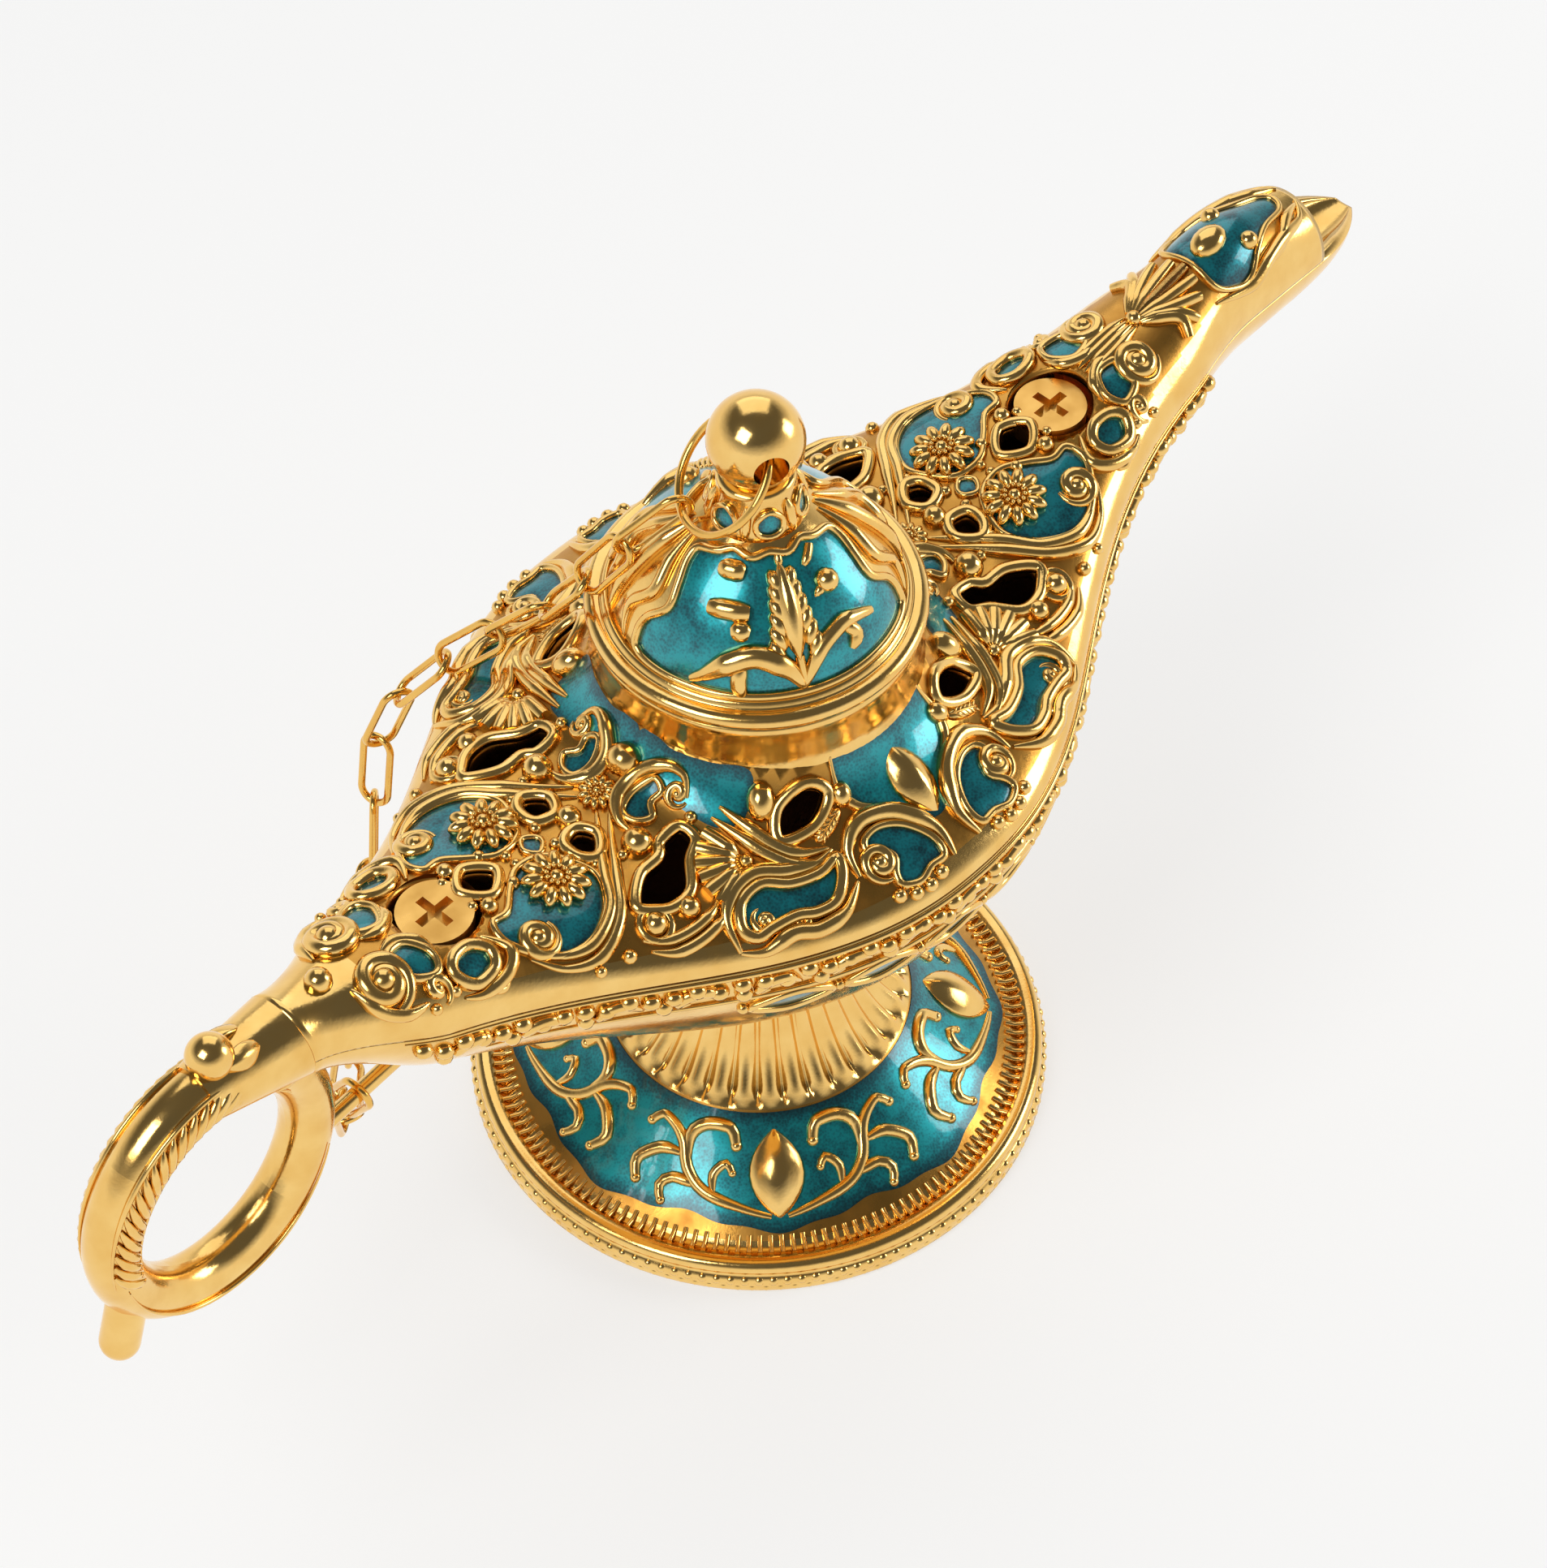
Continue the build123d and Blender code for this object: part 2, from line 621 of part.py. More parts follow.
link_normal = hole_heading * cos(hook_angle) - ring_hang * sin(hook_angle)
links = []
for start, end in zip(joints, joints[1:]):
    way = (end - start).normalized()
    if links:
        link_normal = link_normal.rotate(Axis((0, 0, 0), way), link_twist)
    link_normal = (link_normal - way * link_normal.dot(way)).normalized()
    straight = link_pitch / 2 + link_end - link_half_width
    link_plane = Plane(origin=(start + end) * 0.5, x_dir=way, z_dir=link_normal)
    with BuildPart() as link:
        with BuildLine(link_plane):
            Line((-straight, link_half_width), (straight, link_half_width))
            ThreePointArc(
                (straight, link_half_width),
                (straight + link_half_width, 0),
                (straight, -link_half_width),
            )
            Line((straight, -link_half_width), (-straight, -link_half_width))
            ThreePointArc(
                (-straight, -link_half_width),
                (-straight - link_half_width, 0),
                (-straight, link_half_width),
            )
        side_plane = Plane(origin=link_plane.from_local_coords((0, link_half_width, 0)), z_dir=way)
        with BuildSketch(side_plane):
            Circle(link_wire)
        sweep()
    links.append(link)

pieces = {
    "lower_shell": lower_shell,
    "upper_shell": upper_shell,
    "shell_screws": shell_screws,
    "foot": foot,
    "foot_screw": foot_screw,
    "handle": handle,
    "lid": lid,
    "finial_ball": finial_ball,
    "finial_ring": finial_ring,
}
for number, link in enumerate(links, 1):
    pieces[f"chain_link_{number:02d}"] = link
for name, piece in pieces.items():
    piece.part.label = name
    export_step(piece.part, f"parts/{name}.step")
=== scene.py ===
import bpy
import numpy as np
from math import asin, cos, exp, hypot, pi, radians, sin, sqrt
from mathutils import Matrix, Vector
from mathutils.geometry import delaunay_2d_cdt


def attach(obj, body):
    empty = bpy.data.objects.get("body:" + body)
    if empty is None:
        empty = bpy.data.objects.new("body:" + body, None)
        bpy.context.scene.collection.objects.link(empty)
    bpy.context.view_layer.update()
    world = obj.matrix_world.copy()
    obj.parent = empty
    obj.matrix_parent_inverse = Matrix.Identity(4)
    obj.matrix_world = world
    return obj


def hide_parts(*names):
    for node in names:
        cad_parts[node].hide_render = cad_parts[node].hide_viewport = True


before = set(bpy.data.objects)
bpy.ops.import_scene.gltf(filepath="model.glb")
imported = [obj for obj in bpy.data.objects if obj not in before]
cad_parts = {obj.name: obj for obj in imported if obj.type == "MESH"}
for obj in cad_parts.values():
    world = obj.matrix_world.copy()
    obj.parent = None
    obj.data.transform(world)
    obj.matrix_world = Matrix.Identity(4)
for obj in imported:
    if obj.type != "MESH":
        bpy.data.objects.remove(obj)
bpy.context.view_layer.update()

mm = 0.001
scene = bpy.context.scene


# Colours and materials

def linear(code):
    parts = [int(code[i:i + 2], 16) / 255 for i in (1, 3, 5)]
    return tuple(c / 12.92 if c <= 0.04045 else ((c + 0.055) / 1.055) ** 2.4 for c in parts) + (1.0,)


def feed(tree, node, sockets):
    # a node given as a value stands for its first output
    for key, value in sockets.items():
        if isinstance(value, bpy.types.Node):
            value = value.outputs[0]
        if isinstance(value, bpy.types.NodeSocket):
            tree.links.new(value, node.inputs[key])
        else:
            node.inputs[key].default_value = value


def addNode(tree, kind, sockets=None, **settings):
    node = tree.nodes.new(kind)
    for key, value in settings.items():
        setattr(node, key, value)
    feed(tree, node, sockets or {})
    return node


def newMaterial(name):
    material = bpy.data.materials.new(name)
    material.use_nodes = True
    tree = material.node_tree
    return material, tree, tree.nodes["Principled BSDF"]


# sizes in millimetres of the patterns in the finishes
pattern = {"blotch": 2.2, "pitDepth": 0.05, "cloud": 1.6, "fleck": 0.18, "sand": 0.4, "sandDepth": 0.1}


def noiseOf(tree, grain, detail=3.0):
    place = addNode(tree, "ShaderNodeTexCoord").outputs["Object"]
    return addNode(tree, "ShaderNodeTexNoise", {"Vector": place, "Scale": 1 / (grain * mm), "Detail": detail})


# Gold plate on a casting: mirror-like, with soft blotches where the polishing wheel left it duller
def goldPlate(name, tone, deep, rough, grain=0.25):
    material, tree, shader = newMaterial(name)
    blotch = noiseOf(tree, pattern["blotch"])
    pits = noiseOf(tree, grain, 2.0)
    colour = addNode(tree, "ShaderNodeMix", {"Factor": blotch, "A": linear(tone), "B": linear(deep)},
                     data_type="RGBA")
    dull = addNode(tree, "ShaderNodeMapRange", {"Value": blotch, "From Min": 0.3, "From Max": 0.7,
                                                "To Min": rough * 0.7, "To Max": rough * 1.4})
    bump = addNode(tree, "ShaderNodeBump", {"Height": pits, "Strength": 0.12,
                                            "Distance": pattern["pitDepth"] * mm})
    feed(tree, shader, {"Base Color": colour.outputs["Result"], "Roughness": dull, "Normal": bump,
                        "Metallic": 1.0})
    return material


# Fired translucent enamel over metal: glassy, with bright flecks; darker where it meets the gold, as painted
# shade in the crease
def tealEnamel(name, bright, mid, dark):
    material, tree, shader = newMaterial(name)
    place = addNode(tree, "ShaderNodeTexCoord").outputs["Object"]
    # small at a patch's outline and 1 inside: painted shade where the enamel meets the raised gold
    depth = addNode(tree, "ShaderNodeAttribute", attribute_name="edgeShade").outputs["Fac"]
    cloud = noiseOf(tree, pattern["cloud"])
    fleck = addNode(tree, "ShaderNodeTexVoronoi", {"Vector": place, "Scale": 1 / (pattern["fleck"] * mm)})
    level = addNode(tree, "ShaderNodeMath", {0: depth, 1: cloud}, operation="MULTIPLY")
    flecksAndShade = addNode(tree, "ShaderNodeMath", {0: fleck, 1: 0.35, 2: level}, operation="MULTIPLY_ADD")
    ramp = addNode(tree, "ShaderNodeValToRGB", {"Fac": flecksAndShade})
    stops = ramp.color_ramp.elements
    stops[0].position, stops[0].color = 0.08, linear(dark)
    stops[1].position, stops[1].color = 0.8, linear(bright)
    middle = stops.new(0.42)
    middle.color = linear(mid)
    feed(tree, shader, {"Base Color": ramp, "Metallic": 0.6, "Roughness": 0.28, "Coat Weight": 0.7,
                        "Coat Roughness": 0.05})
    return material


# Dark brown painted shade for inside the bowl and under the cover, which show through the holes: matt,
# faintly sandy
def recessShadeMaterial(name, tone):
    material, tree, shader = newMaterial(name)
    sand = noiseOf(tree, pattern["sand"])
    bump = addNode(tree, "ShaderNodeBump", {"Height": sand, "Strength": 0.4,
                                            "Distance": pattern["sandDepth"] * mm})
    dull = addNode(tree, "ShaderNodeMapRange", {"Value": sand, "To Min": 0.45, "To Max": 0.8})
    feed(tree, shader, {"Base Color": linear(tone), "Metallic": 0.6, "Roughness": dull, "Normal": bump})
    return material


polishedGold = goldPlate("Polished gold plate", "#f7d286", "#e6b25a", 0.15)
# darker, browner gold for the sunken ground of the cover, the foot's cone and the counterbores: painted shade
# of the hollows; its greater roughness is the real finish
hollowShadeGold = goldPlate("Gold plate darkened in the hollows as painted shade", "#dfa951", "#a8702c", 0.28)
wireGold = goldPlate("Gold plated wire", "#f2c770", "#e0a84e", 0.16)
satinGold = goldPlate("Satin gold plated screw", "#efc272", "#e0a850", 0.34, 0.4)
# two copies of one teal enamel: the lighter one, on the collar ring, the lid and the foot, paints the
# highlight those parts catch; the darker one fills the cover's pockets
enamel = tealEnamel("Teal enamel lightened as painted highlight", "#0f9aa2", "#075a64", "#031f28")
deepEnamel = tealEnamel("Deep teal enamel", "#0c808a", "#05454f", "#02171e")
greyEnamel = tealEnamel("Thin teal enamel", "#5f8f8e", "#3c6468", "#12282e")
recessShadeBrown = recessShadeMaterial("Dark brown painted shade in the recesses", "#6e3c14")
print("materials ready")


# Geometry Nodes: a round wire along drawn paths, and one shape set on many points

def newTree(name, inputs):
    tree = bpy.data.node_groups.new(name, "GeometryNodeTree")
    tree.interface.new_socket("Geometry", in_out="INPUT", socket_type="NodeSocketGeometry")
    keys = {}
    for label, kind in inputs:
        keys[label] = tree.interface.new_socket(label, in_out="INPUT", socket_type=kind).identifier
    tree.interface.new_socket("Geometry", in_out="OUTPUT", socket_type="NodeSocketGeometry")
    return tree, keys, tree.nodes.new("NodeGroupInput"), tree.nodes.new("NodeGroupOutput")


wireTree, wireKeys, source, target = newTree("wireAlongPaths", [("Sides", "NodeSocketInt"),
                                                                ("Finish", "NodeSocketMaterial")])
thickness = addNode(wireTree, "GeometryNodeInputNamedAttribute", {"Name": "thickness"}, data_type="FLOAT")
paths = addNode(wireTree, "GeometryNodeMeshToCurve", {"Mesh": source})
ring = addNode(wireTree, "GeometryNodeCurvePrimitiveCircle",
               {"Resolution": source.outputs["Sides"], "Radius": 1.0})
tube = addNode(wireTree, "GeometryNodeCurveToMesh",
               {"Curve": paths, "Profile Curve": ring, "Scale": thickness, "Fill Caps": True})
smooth = addNode(wireTree, "GeometryNodeSetShadeSmooth", {"Geometry": tube})
real = addNode(wireTree, "GeometryNodeRealizeInstances", {"Geometry": smooth})
painted = addNode(wireTree, "GeometryNodeSetMaterial",
                  {"Geometry": real, "Material": source.outputs["Finish"]})
feed(wireTree, target, {"Geometry": painted})

stampTree, stampKeys, source, target = newTree("shapeOnPoints", [("Shape", "NodeSocketObject"),
                                                                 ("Finish", "NodeSocketMaterial")])
facing = addNode(stampTree, "GeometryNodeInputNamedAttribute", {"Name": "facing"}, data_type="FLOAT_VECTOR")
heading = addNode(stampTree, "GeometryNodeInputNamedAttribute", {"Name": "heading"}, data_type="FLOAT_VECTOR")
size = addNode(stampTree, "GeometryNodeInputNamedAttribute", {"Name": "size"}, data_type="FLOAT_VECTOR")
shape = addNode(stampTree, "GeometryNodeObjectInfo", {"Object": source.outputs["Shape"]})
up = addNode(stampTree, "FunctionNodeAlignRotationToVector", {"Vector": facing}, axis="Z")
along = addNode(stampTree, "FunctionNodeAlignRotationToVector", {"Rotation": up, "Vector": heading},
                axis="X", pivot_axis="Z")
points = addNode(stampTree, "GeometryNodeMeshToPoints", {"Mesh": source})
placed = addNode(stampTree, "GeometryNodeInstanceOnPoints",
                 {"Points": points, "Instance": shape.outputs["Geometry"], "Rotation": along, "Scale": size})
real = addNode(stampTree, "GeometryNodeRealizeInstances", {"Geometry": placed})
painted = addNode(stampTree, "GeometryNodeSetMaterial",
                  {"Geometry": real, "Material": source.outputs["Finish"]})
feed(stampTree, target, {"Geometry": painted})


def newObject(name, points, faces=(), edges=(), finish=None):
    mesh = bpy.data.meshes.new(name)
    mesh.from_pydata([tuple(c * mm for c in p) for p in points], list(edges), list(faces))
    mesh.update()
    if finish:
        mesh.materials.append(finish)
    if faces:
        mesh.shade_smooth()
    piece = bpy.data.objects.new(name, mesh)
    scene.collection.objects.link(piece)
    return piece


def settle(piece):
    bpy.context.view_layer.update()
    done = bpy.data.meshes.new_from_object(piece.evaluated_get(bpy.context.evaluated_depsgraph_get()))
    piece.modifiers.clear()
    old = piece.data
    piece.data = done
    bpy.data.meshes.remove(old)
    return piece


def runTree(piece, tree, values):
    modifier = piece.modifiers.new(tree.name, "NODES")
    modifier.node_group = tree
    for key, value in values.items():
        modifier[key] = value
    return settle(piece)


def finishPiece(piece, body="lamp", slot="gold_casting", stands=()):
    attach(piece, body)
    if stands:
        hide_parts(*stands)
    return piece


# Paths are drawn on a surface: each is a list of points with the wire's half thickness at each point.
# A path thins towards its ends over a share of its length, and slopes are taken over a small step.
taperRun = 0.3
probe = 0.05
volute = {"steps": 24, "windIn": 0.8, "pearl": 0.48}


def flow(points, closed=False, step=0.22):
    pts = [np.array(p, float) for p in points]
    count = len(pts)
    out = []
    for i in range(count if closed else count - 1):
        near = range(i - 1, i + 3)
        a, b, c, d = (pts[k % count] if closed else pts[min(max(k, 0), count - 1)] for k in near)
        runs = max(2, int(np.linalg.norm(c - b) / step))
        for j in range(runs):
            t = j / runs
            out.append(0.5 * (2 * b + (c - a) * t + (2 * a - 5 * b + 4 * c - d) * t ** 2
                              + (3 * b - a - 3 * c + d) * t ** 3))
    if not closed:
        out.append(pts[-1])
    return out


def facingAt(surface, u, v):
    place = np.array(surface(u, v))
    du = np.array(surface(u + probe, v)) - np.array(surface(u - probe, v))
    dv = np.array(surface(u, v + probe)) - np.array(surface(u, v - probe))
    normal = np.cross(du, dv)
    return place, normal / (np.linalg.norm(normal) + 1e-12)


class Drawing:
    def __init__(self, surface=None, weight=1.0, copies=((1, 1),)):
        self.surface = surface
        self.weight = weight
        self.copies = copies
        self.wires = []
        self.stamps = {}

    def line(self, points, thick, closed=False, taper=(0.25, 0.25), rise=0.35, copies=None, step=0.22):
        run = flow(points, closed, step)
        for sx, sy in copies or self.copies:
            wire = []
            for i, p in enumerate(run):
                t = i / max(len(run) - 1, 1)
                half = thick * self.weight
                if not closed:
                    ends = ((taper[0], t), (taper[1], 1 - t))
                    half *= min(1, *(thin + (1 - thin) * way / taperRun for thin, way in ends))
                place, normal = facingAt(self.surface, p[0] * sx, p[1] * sy)
                wire.append((place + normal * half * rise, half))
            self.wires.append((wire, closed))

    def curl(self, centre, radius, start, turns, thick, hand=1, copies=None):
        # a volute that winds in to a pearl
        runs = int(volute["steps"] * turns) + 2
        path = []
        for i in range(runs):
            t = i / (runs - 1)
            a = radians(start) + hand * 2 * pi * turns * t
            r = radius * (1 - volute["windIn"] * t)
            path.append((centre[0] + r * cos(a), centre[1] + r * sin(a)))
        self.line(path, thick, taper=(0.35, 0.7), copies=copies, step=0.5)
        self.stamp("pearl", centre, radius * volute["pearl"], copies=copies)

    def stamp(self, kind, at, scale, turn=0.0, copies=None, rise=0.1):
        wide = scale if isinstance(scale, tuple) else (scale, scale, scale)
        way = radians(turn)
        for sx, sy in copies or self.copies:
            u, v = at[0] * sx, at[1] * sy
            place, normal = facingAt(self.surface, u, v)
            ahead = np.array(self.surface(u + probe * cos(way) * sx, v + probe * sin(way) * sy)) - place
            self.stamps.setdefault(kind, []).append((place + normal * rise * wide[2], normal, ahead, wide))


def wireObject(name, wires, finish, sides=10, **ride):
    verts, edges, half = [], [], []
    for wire, closed in wires:
        first = len(verts)
        for place, thick in wire:
            verts.append(tuple(place))
            half.append(thick * mm)
        edges += [(first + i, first + i + 1) for i in range(len(wire) - 1)]
        if closed:
            edges.append((len(verts) - 1, first))
    piece = newObject(name, verts, edges=edges)
    piece.data.attributes.new("thickness", "FLOAT", "POINT").data.foreach_set("value", half)
    runTree(piece, wireTree, {wireKeys["Sides"]: sides, wireKeys["Finish"]: finish})
    return finishPiece(piece, **ride)


def stampObject(name, stamps, shape, finish, **ride):
    piece = newObject(name, [s[0] for s in stamps])
    for label, column in (("facing", 1), ("heading", 2)):
        values = np.array([s[column] for s in stamps], float).ravel()
        piece.data.attributes.new(label, "FLOAT_VECTOR", "POINT").data.foreach_set("vector", values)
    sizes = np.array([s[3] for s in stamps], float).ravel() * mm
    piece.data.attributes.new("size", "FLOAT_VECTOR", "POINT").data.foreach_set("vector", sizes)
    runTree(piece, stampTree, {stampKeys["Shape"]: shape, stampKeys["Finish"]: finish})
    return finishPiece(piece, **ride)


# Small shapes of unit size, taken away again once they have been set in place

def ballShape(rings=6, sides=10):
    verts, faces = [(0, 0, 1)], []
    turns = [2 * pi * j / sides for j in range(sides)]
    for i in range(1, rings):
        a = pi * i / rings
        verts += [(sin(a) * cos(b), sin(a) * sin(b), cos(a)) for b in turns]
    verts.append((0, 0, -1))
    for j in range(sides):
        k = (j + 1) % sides
        faces.append((0, 1 + j, 1 + k))
        for i in range(rings - 2):
            b = 1 + i * sides
            faces.append((b + j, b + sides + j, b + sides + k, b + k))
        b = 1 + (rings - 2) * sides
        faces.append((b + j, len(verts) - 1, b + k))
    return verts, faces


def joinShapes(parts):
    verts, faces = [], []
    for v, f in parts:
        faces += [tuple(i + len(verts) for i in face) for face in f]
        verts += v
    return verts, faces


def stretched(shape, size, turn=0.0, at=(0, 0, 0), tilt=0.0):
    out = []
    for x, y, z in shape[0]:
        x, y, z = x * size[0], y * size[1], z * size[2]
        x, z = x * cos(tilt) - z * sin(tilt), x * sin(tilt) + z * cos(tilt)
        x, y = x * cos(turn) - y * sin(turn), x * sin(turn) + y * cos(turn)
        out.append((x + at[0], y + at[1], z + at[2]))
    return out, shape[1]


def keepShape(name, shape):
    return newObject(name, [tuple(c / mm for c in v) for v in shape[0]], shape[1])


ball = ballShape()
fineBall = ballShape(8, 14)
daisy = {"petals": 11, "reach": 0.64, "petal": (0.37, 0.205, 0.24), "petalRise": 0.14, "droop": -0.12,
         "seed": (0.08, 0.07, 0.08), "seedReach": 0.3, "seedRise": 0.36, "seedTurn": 0.28,
         "disc": (0.72, 0.72, 0.14), "button": (0.25, 0.25, 0.3), "buttonRise": 0.16}


def daisyShape():
    parts = [stretched(fineBall, daisy["disc"]),
             stretched(fineBall, daisy["button"], at=(0, 0, daisy["buttonRise"]))]
    for i in range(daisy["petals"]):
        a = 2 * pi * i / daisy["petals"]
        tip = (daisy["reach"] * cos(a), daisy["reach"] * sin(a), daisy["petalRise"])
        parts.append(stretched(fineBall, daisy["petal"], a, tip, daisy["droop"]))
        b = a + daisy["seedTurn"]
        seedAt = (daisy["seedReach"] * cos(b), daisy["seedReach"] * sin(b), daisy["seedRise"])
        parts.append(stretched(ball, daisy["seed"], a, seedAt))
    return joinShapes(parts)


almond = {"taper": 0.4, "ridge": 0.45}


def almondShape():
    # a ball laid along X, drawn to a point at both ends, with a ridge along its back
    verts, faces = ballShape(14, 16)
    out = []
    for x, y, z in verts:
        thin = max(1 - z * z, 0.0) ** almond["taper"]
        ridge = 1 - almond["ridge"] * abs(y) / (hypot(x, y) + 1e-9)
        out.append((z, y * thin, -x * thin * ridge))
    return out, faces


leaf = {"blade": (1.0, 0.42, 0.22), "rib": (0.92, 0.06, 0.12), "ribRise": 0.16, "veins": 5, "first": -0.43,
        "pitch": 0.28, "vein": (0.26, 0.06, 0.1), "lean": 0.75, "veinOut": 0.17, "veinRise": 0.15}


def leafShape():
    parts = [stretched(fineBall, leaf["blade"]), stretched(ball, leaf["rib"], at=(0, 0, leaf["ribRise"]))]
    for i in range(leaf["veins"]):
        for side in (1, -1):
            at = (leaf["first"] + leaf["pitch"] * i, side * leaf["veinOut"], leaf["veinRise"])
            parts.append(stretched(ball, leaf["vein"], side * leaf["lean"], at))
    return joinShapes(parts)


shapes = {"bead": keepShape("bead", ball), "daisy": keepShape("daisy", daisyShape()),
          "leaf": keepShape("leaf", leafShape()), "pearl": keepShape("pearl", fineBall),
          "almond": keepShape("almond", almondShape())}


def finishDrawing(name, drawing, **ride):
    if drawing.wires:
        wireObject(f"{name}_scrolls", drawing.wires, polishedGold, **ride)
    for kind, stamps in drawing.stamps.items():
        stampObject(f"{name}_{kind}s", stamps, shapes[kind], polishedGold, **ride)


# A patch of enamel fills a closed outline on a surface and swells a little in the middle. Painted shade
# darkens it along the outline, where it meets the gold, and fades over a short way inwards.
poolEdge = {"swellRun": 0.5, "shadeRun": 0.7, "least": 0.15}


def inside(p, outline):
    x, y = p
    hit = False
    for (ax, ay), (bx, by) in zip(outline, outline[1:] + outline[:1]):
        if (ay > y) != (by > y) and x < (bx - ax) * (y - ay) / (by - ay) + ax:
            hit = not hit
    return hit


def edgeDistance(p, outline):
    best = 1e9
    q = np.array(p)
    for a, b in zip(outline, outline[1:] + outline[:1]):
        a, b = np.array(a), np.array(b)
        t = np.clip(np.dot(q - a, b - a) / (np.dot(b - a, b - a) + 1e-12), 0, 1)
        best = min(best, np.linalg.norm(q - a - t * (b - a)))
    return best


def patchOf(surface, outline, copies, spacing=0.3, lift=0.05, swell=0.12):
    loop = [tuple(p) for p in flow(outline, True, 0.25)]
    xs, ys = [p[0] for p in loop], [p[1] for p in loop]
    dots = list(loop)
    for i, x in enumerate(np.arange(min(xs), max(xs), spacing)):
        for y in np.arange(min(ys) + (i % 2) * spacing / 2, max(ys), spacing):
            if inside((x, y), loop) and edgeDistance((x, y), loop) > spacing * 0.5:
                dots.append((float(x), float(y)))
    count = len(loop)
    edges = [(i, (i + 1) % count) for i in range(count)]
    flat, _, tris, *_ = delaunay_2d_cdt([Vector(d) for d in dots], edges, [], 1, 1e-5)
    depths = [edgeDistance((p.x, p.y), loop) for p in flat]
    verts, faces, depth = [], [], []
    for sx, sy in copies:
        first = len(verts)
        for p, d in zip(flat, depths):
            place, normal = facingAt(surface, p.x * sx, p.y * sy)
            rise = lift + swell * (1 - exp(-d / poolEdge["swellRun"]))
            verts.append(tuple(place + normal * rise))
            # painted shade along the outline, fading inwards
            depth.append(min(1.0, poolEdge["least"] + d / poolEdge["shadeRun"]))
        for t in tris:
            face = tuple(first + i for i in t)
            faces.append(face if sx * sy > 0 else face[::-1])
    return verts, faces, depth


def enamelObject(name, patches, finish=enamel, **ride):
    verts, faces, depth = [], [], []
    for v, f, d in patches:
        faces += [tuple(i + len(verts) for i in face) for face in f]
        verts += v
        depth += d
    piece = newObject(name, verts, faces, finish=finish)
    # the painted edge shade goes to the shader as a point attribute
    piece.data.attributes.new("edgeShade", "FLOAT", "POINT").data.foreach_set("value", depth)
    return finishPiece(piece, **ride)


# Form of the body, as in the solids

def ease(t):
    t = min(max(t, 0.0), 1.0)
    return t * t * (3 - 2 * t)


bowl = {"halfWidth": 19.2, "neck": 4.4, "spread": 23.05, "power": 2.3,
        "rim": 37.6, "levelRim": 12.0, "rimRun": 30.0, "tailRise": 6.4, "tailPower": 1.8, "spoutRise": 4.4,
        "tailEnd": -41.5, "tailTaper": 8.5, "tailRadius": 2.9,
        "spoutHalf": 3.7, "spoutStart": 38.0, "spoutBlend": 8.0, "coverEnd": 54.0,
        "lipStart": 50.0, "lipLength": 11.8, "lipPower": 3.2, "lipDroop": 2.2, "lipTip": 61.0,
        "crown": 4.1, "swell": 1.6, "swellAt": 46.5, "swellSpread": 4.5,
        "depth": 18.6, "neckDepth": 4.6, "depthSpread": 24.5, "depthPower": 2.2}


def tailEase(x):
    return ease((bowl["tailEnd"] + bowl["tailTaper"] - x) / bowl["tailTaper"])


def alongLip(x):
    return max((x - bowl["lipStart"]) / bowl["lipLength"], 0.0)


def halfWidth(x):
    bulge = exp(-((abs(x) / bowl["spread"]) ** bowl["power"]))
    w = bowl["neck"] + (bowl["halfWidth"] - bowl["neck"]) * bulge
    w += (bowl["spoutHalf"] - w) * ease((x - bowl["spoutStart"]) / bowl["spoutBlend"])
    w *= 1 - alongLip(x) ** bowl["lipPower"]
    return w + (bowl["tailRadius"] - w) * tailEase(x)


def rimHeight(x):
    if x < 0:
        climb = max(-x - bowl["levelRim"], 0) / bowl["rimRun"]
        return bowl["rim"] + bowl["tailRise"] * climb ** bowl["tailPower"]
    droop = bowl["lipDroop"] * alongLip(x) ** 2
    return bowl["rim"] + bowl["spoutRise"] * ease((x - bowl["levelRim"]) / bowl["rimRun"]) - droop


def crownHeight(x):
    h = bowl["crown"] + bowl["swell"] * exp(-(((x - bowl["swellAt"]) / bowl["swellSpread"]) ** 2))
    return h + (bowl["tailRadius"] - h) * tailEase(x)


def keelDepth(x):
    bulge = exp(-((abs(x) / bowl["depthSpread"]) ** bowl["depthPower"]))
    d = bowl["neckDepth"] + (bowl["depth"] - bowl["neckDepth"]) * bulge
    d *= 1 - alongLip(x) ** 2
    return d + (bowl["tailRadius"] - d) * tailEase(x)


collar = {"radius": 10.6, "flareFrom": 9.1, "flareRise": 3.6, "flareReach": 1.9}


def coverAt(x, y):
    t = min(abs(y) / halfWidth(x), 1.0)
    z = rimHeight(x) + crownHeight(x) * sqrt(1 - t * t)
    r = max(hypot(x, y), collar["flareFrom"])
    return x, y, z + collar["flareRise"] * exp(-(r - collar["radius"]) / collar["flareReach"])


def bowlAt(x, a):
    # a is the angle in degrees below the rim, from the near side
    w, d = halfWidth(x), keelDepth(x)
    return x, -w * cos(radians(a)), rimHeight(x) - d * sin(radians(a))


# mirror images: all four quarters, both ends, both sides, and both sides of the tail alone
quarters = [(sx, sy) for sx in (-1, 1) for sy in (-1, 1)]
bothEnds = [(-1, 1), (1, 1)]
bothSides = [(1, -1), (1, 1)]
tailSides = [(-1, -1), (-1, 1)]

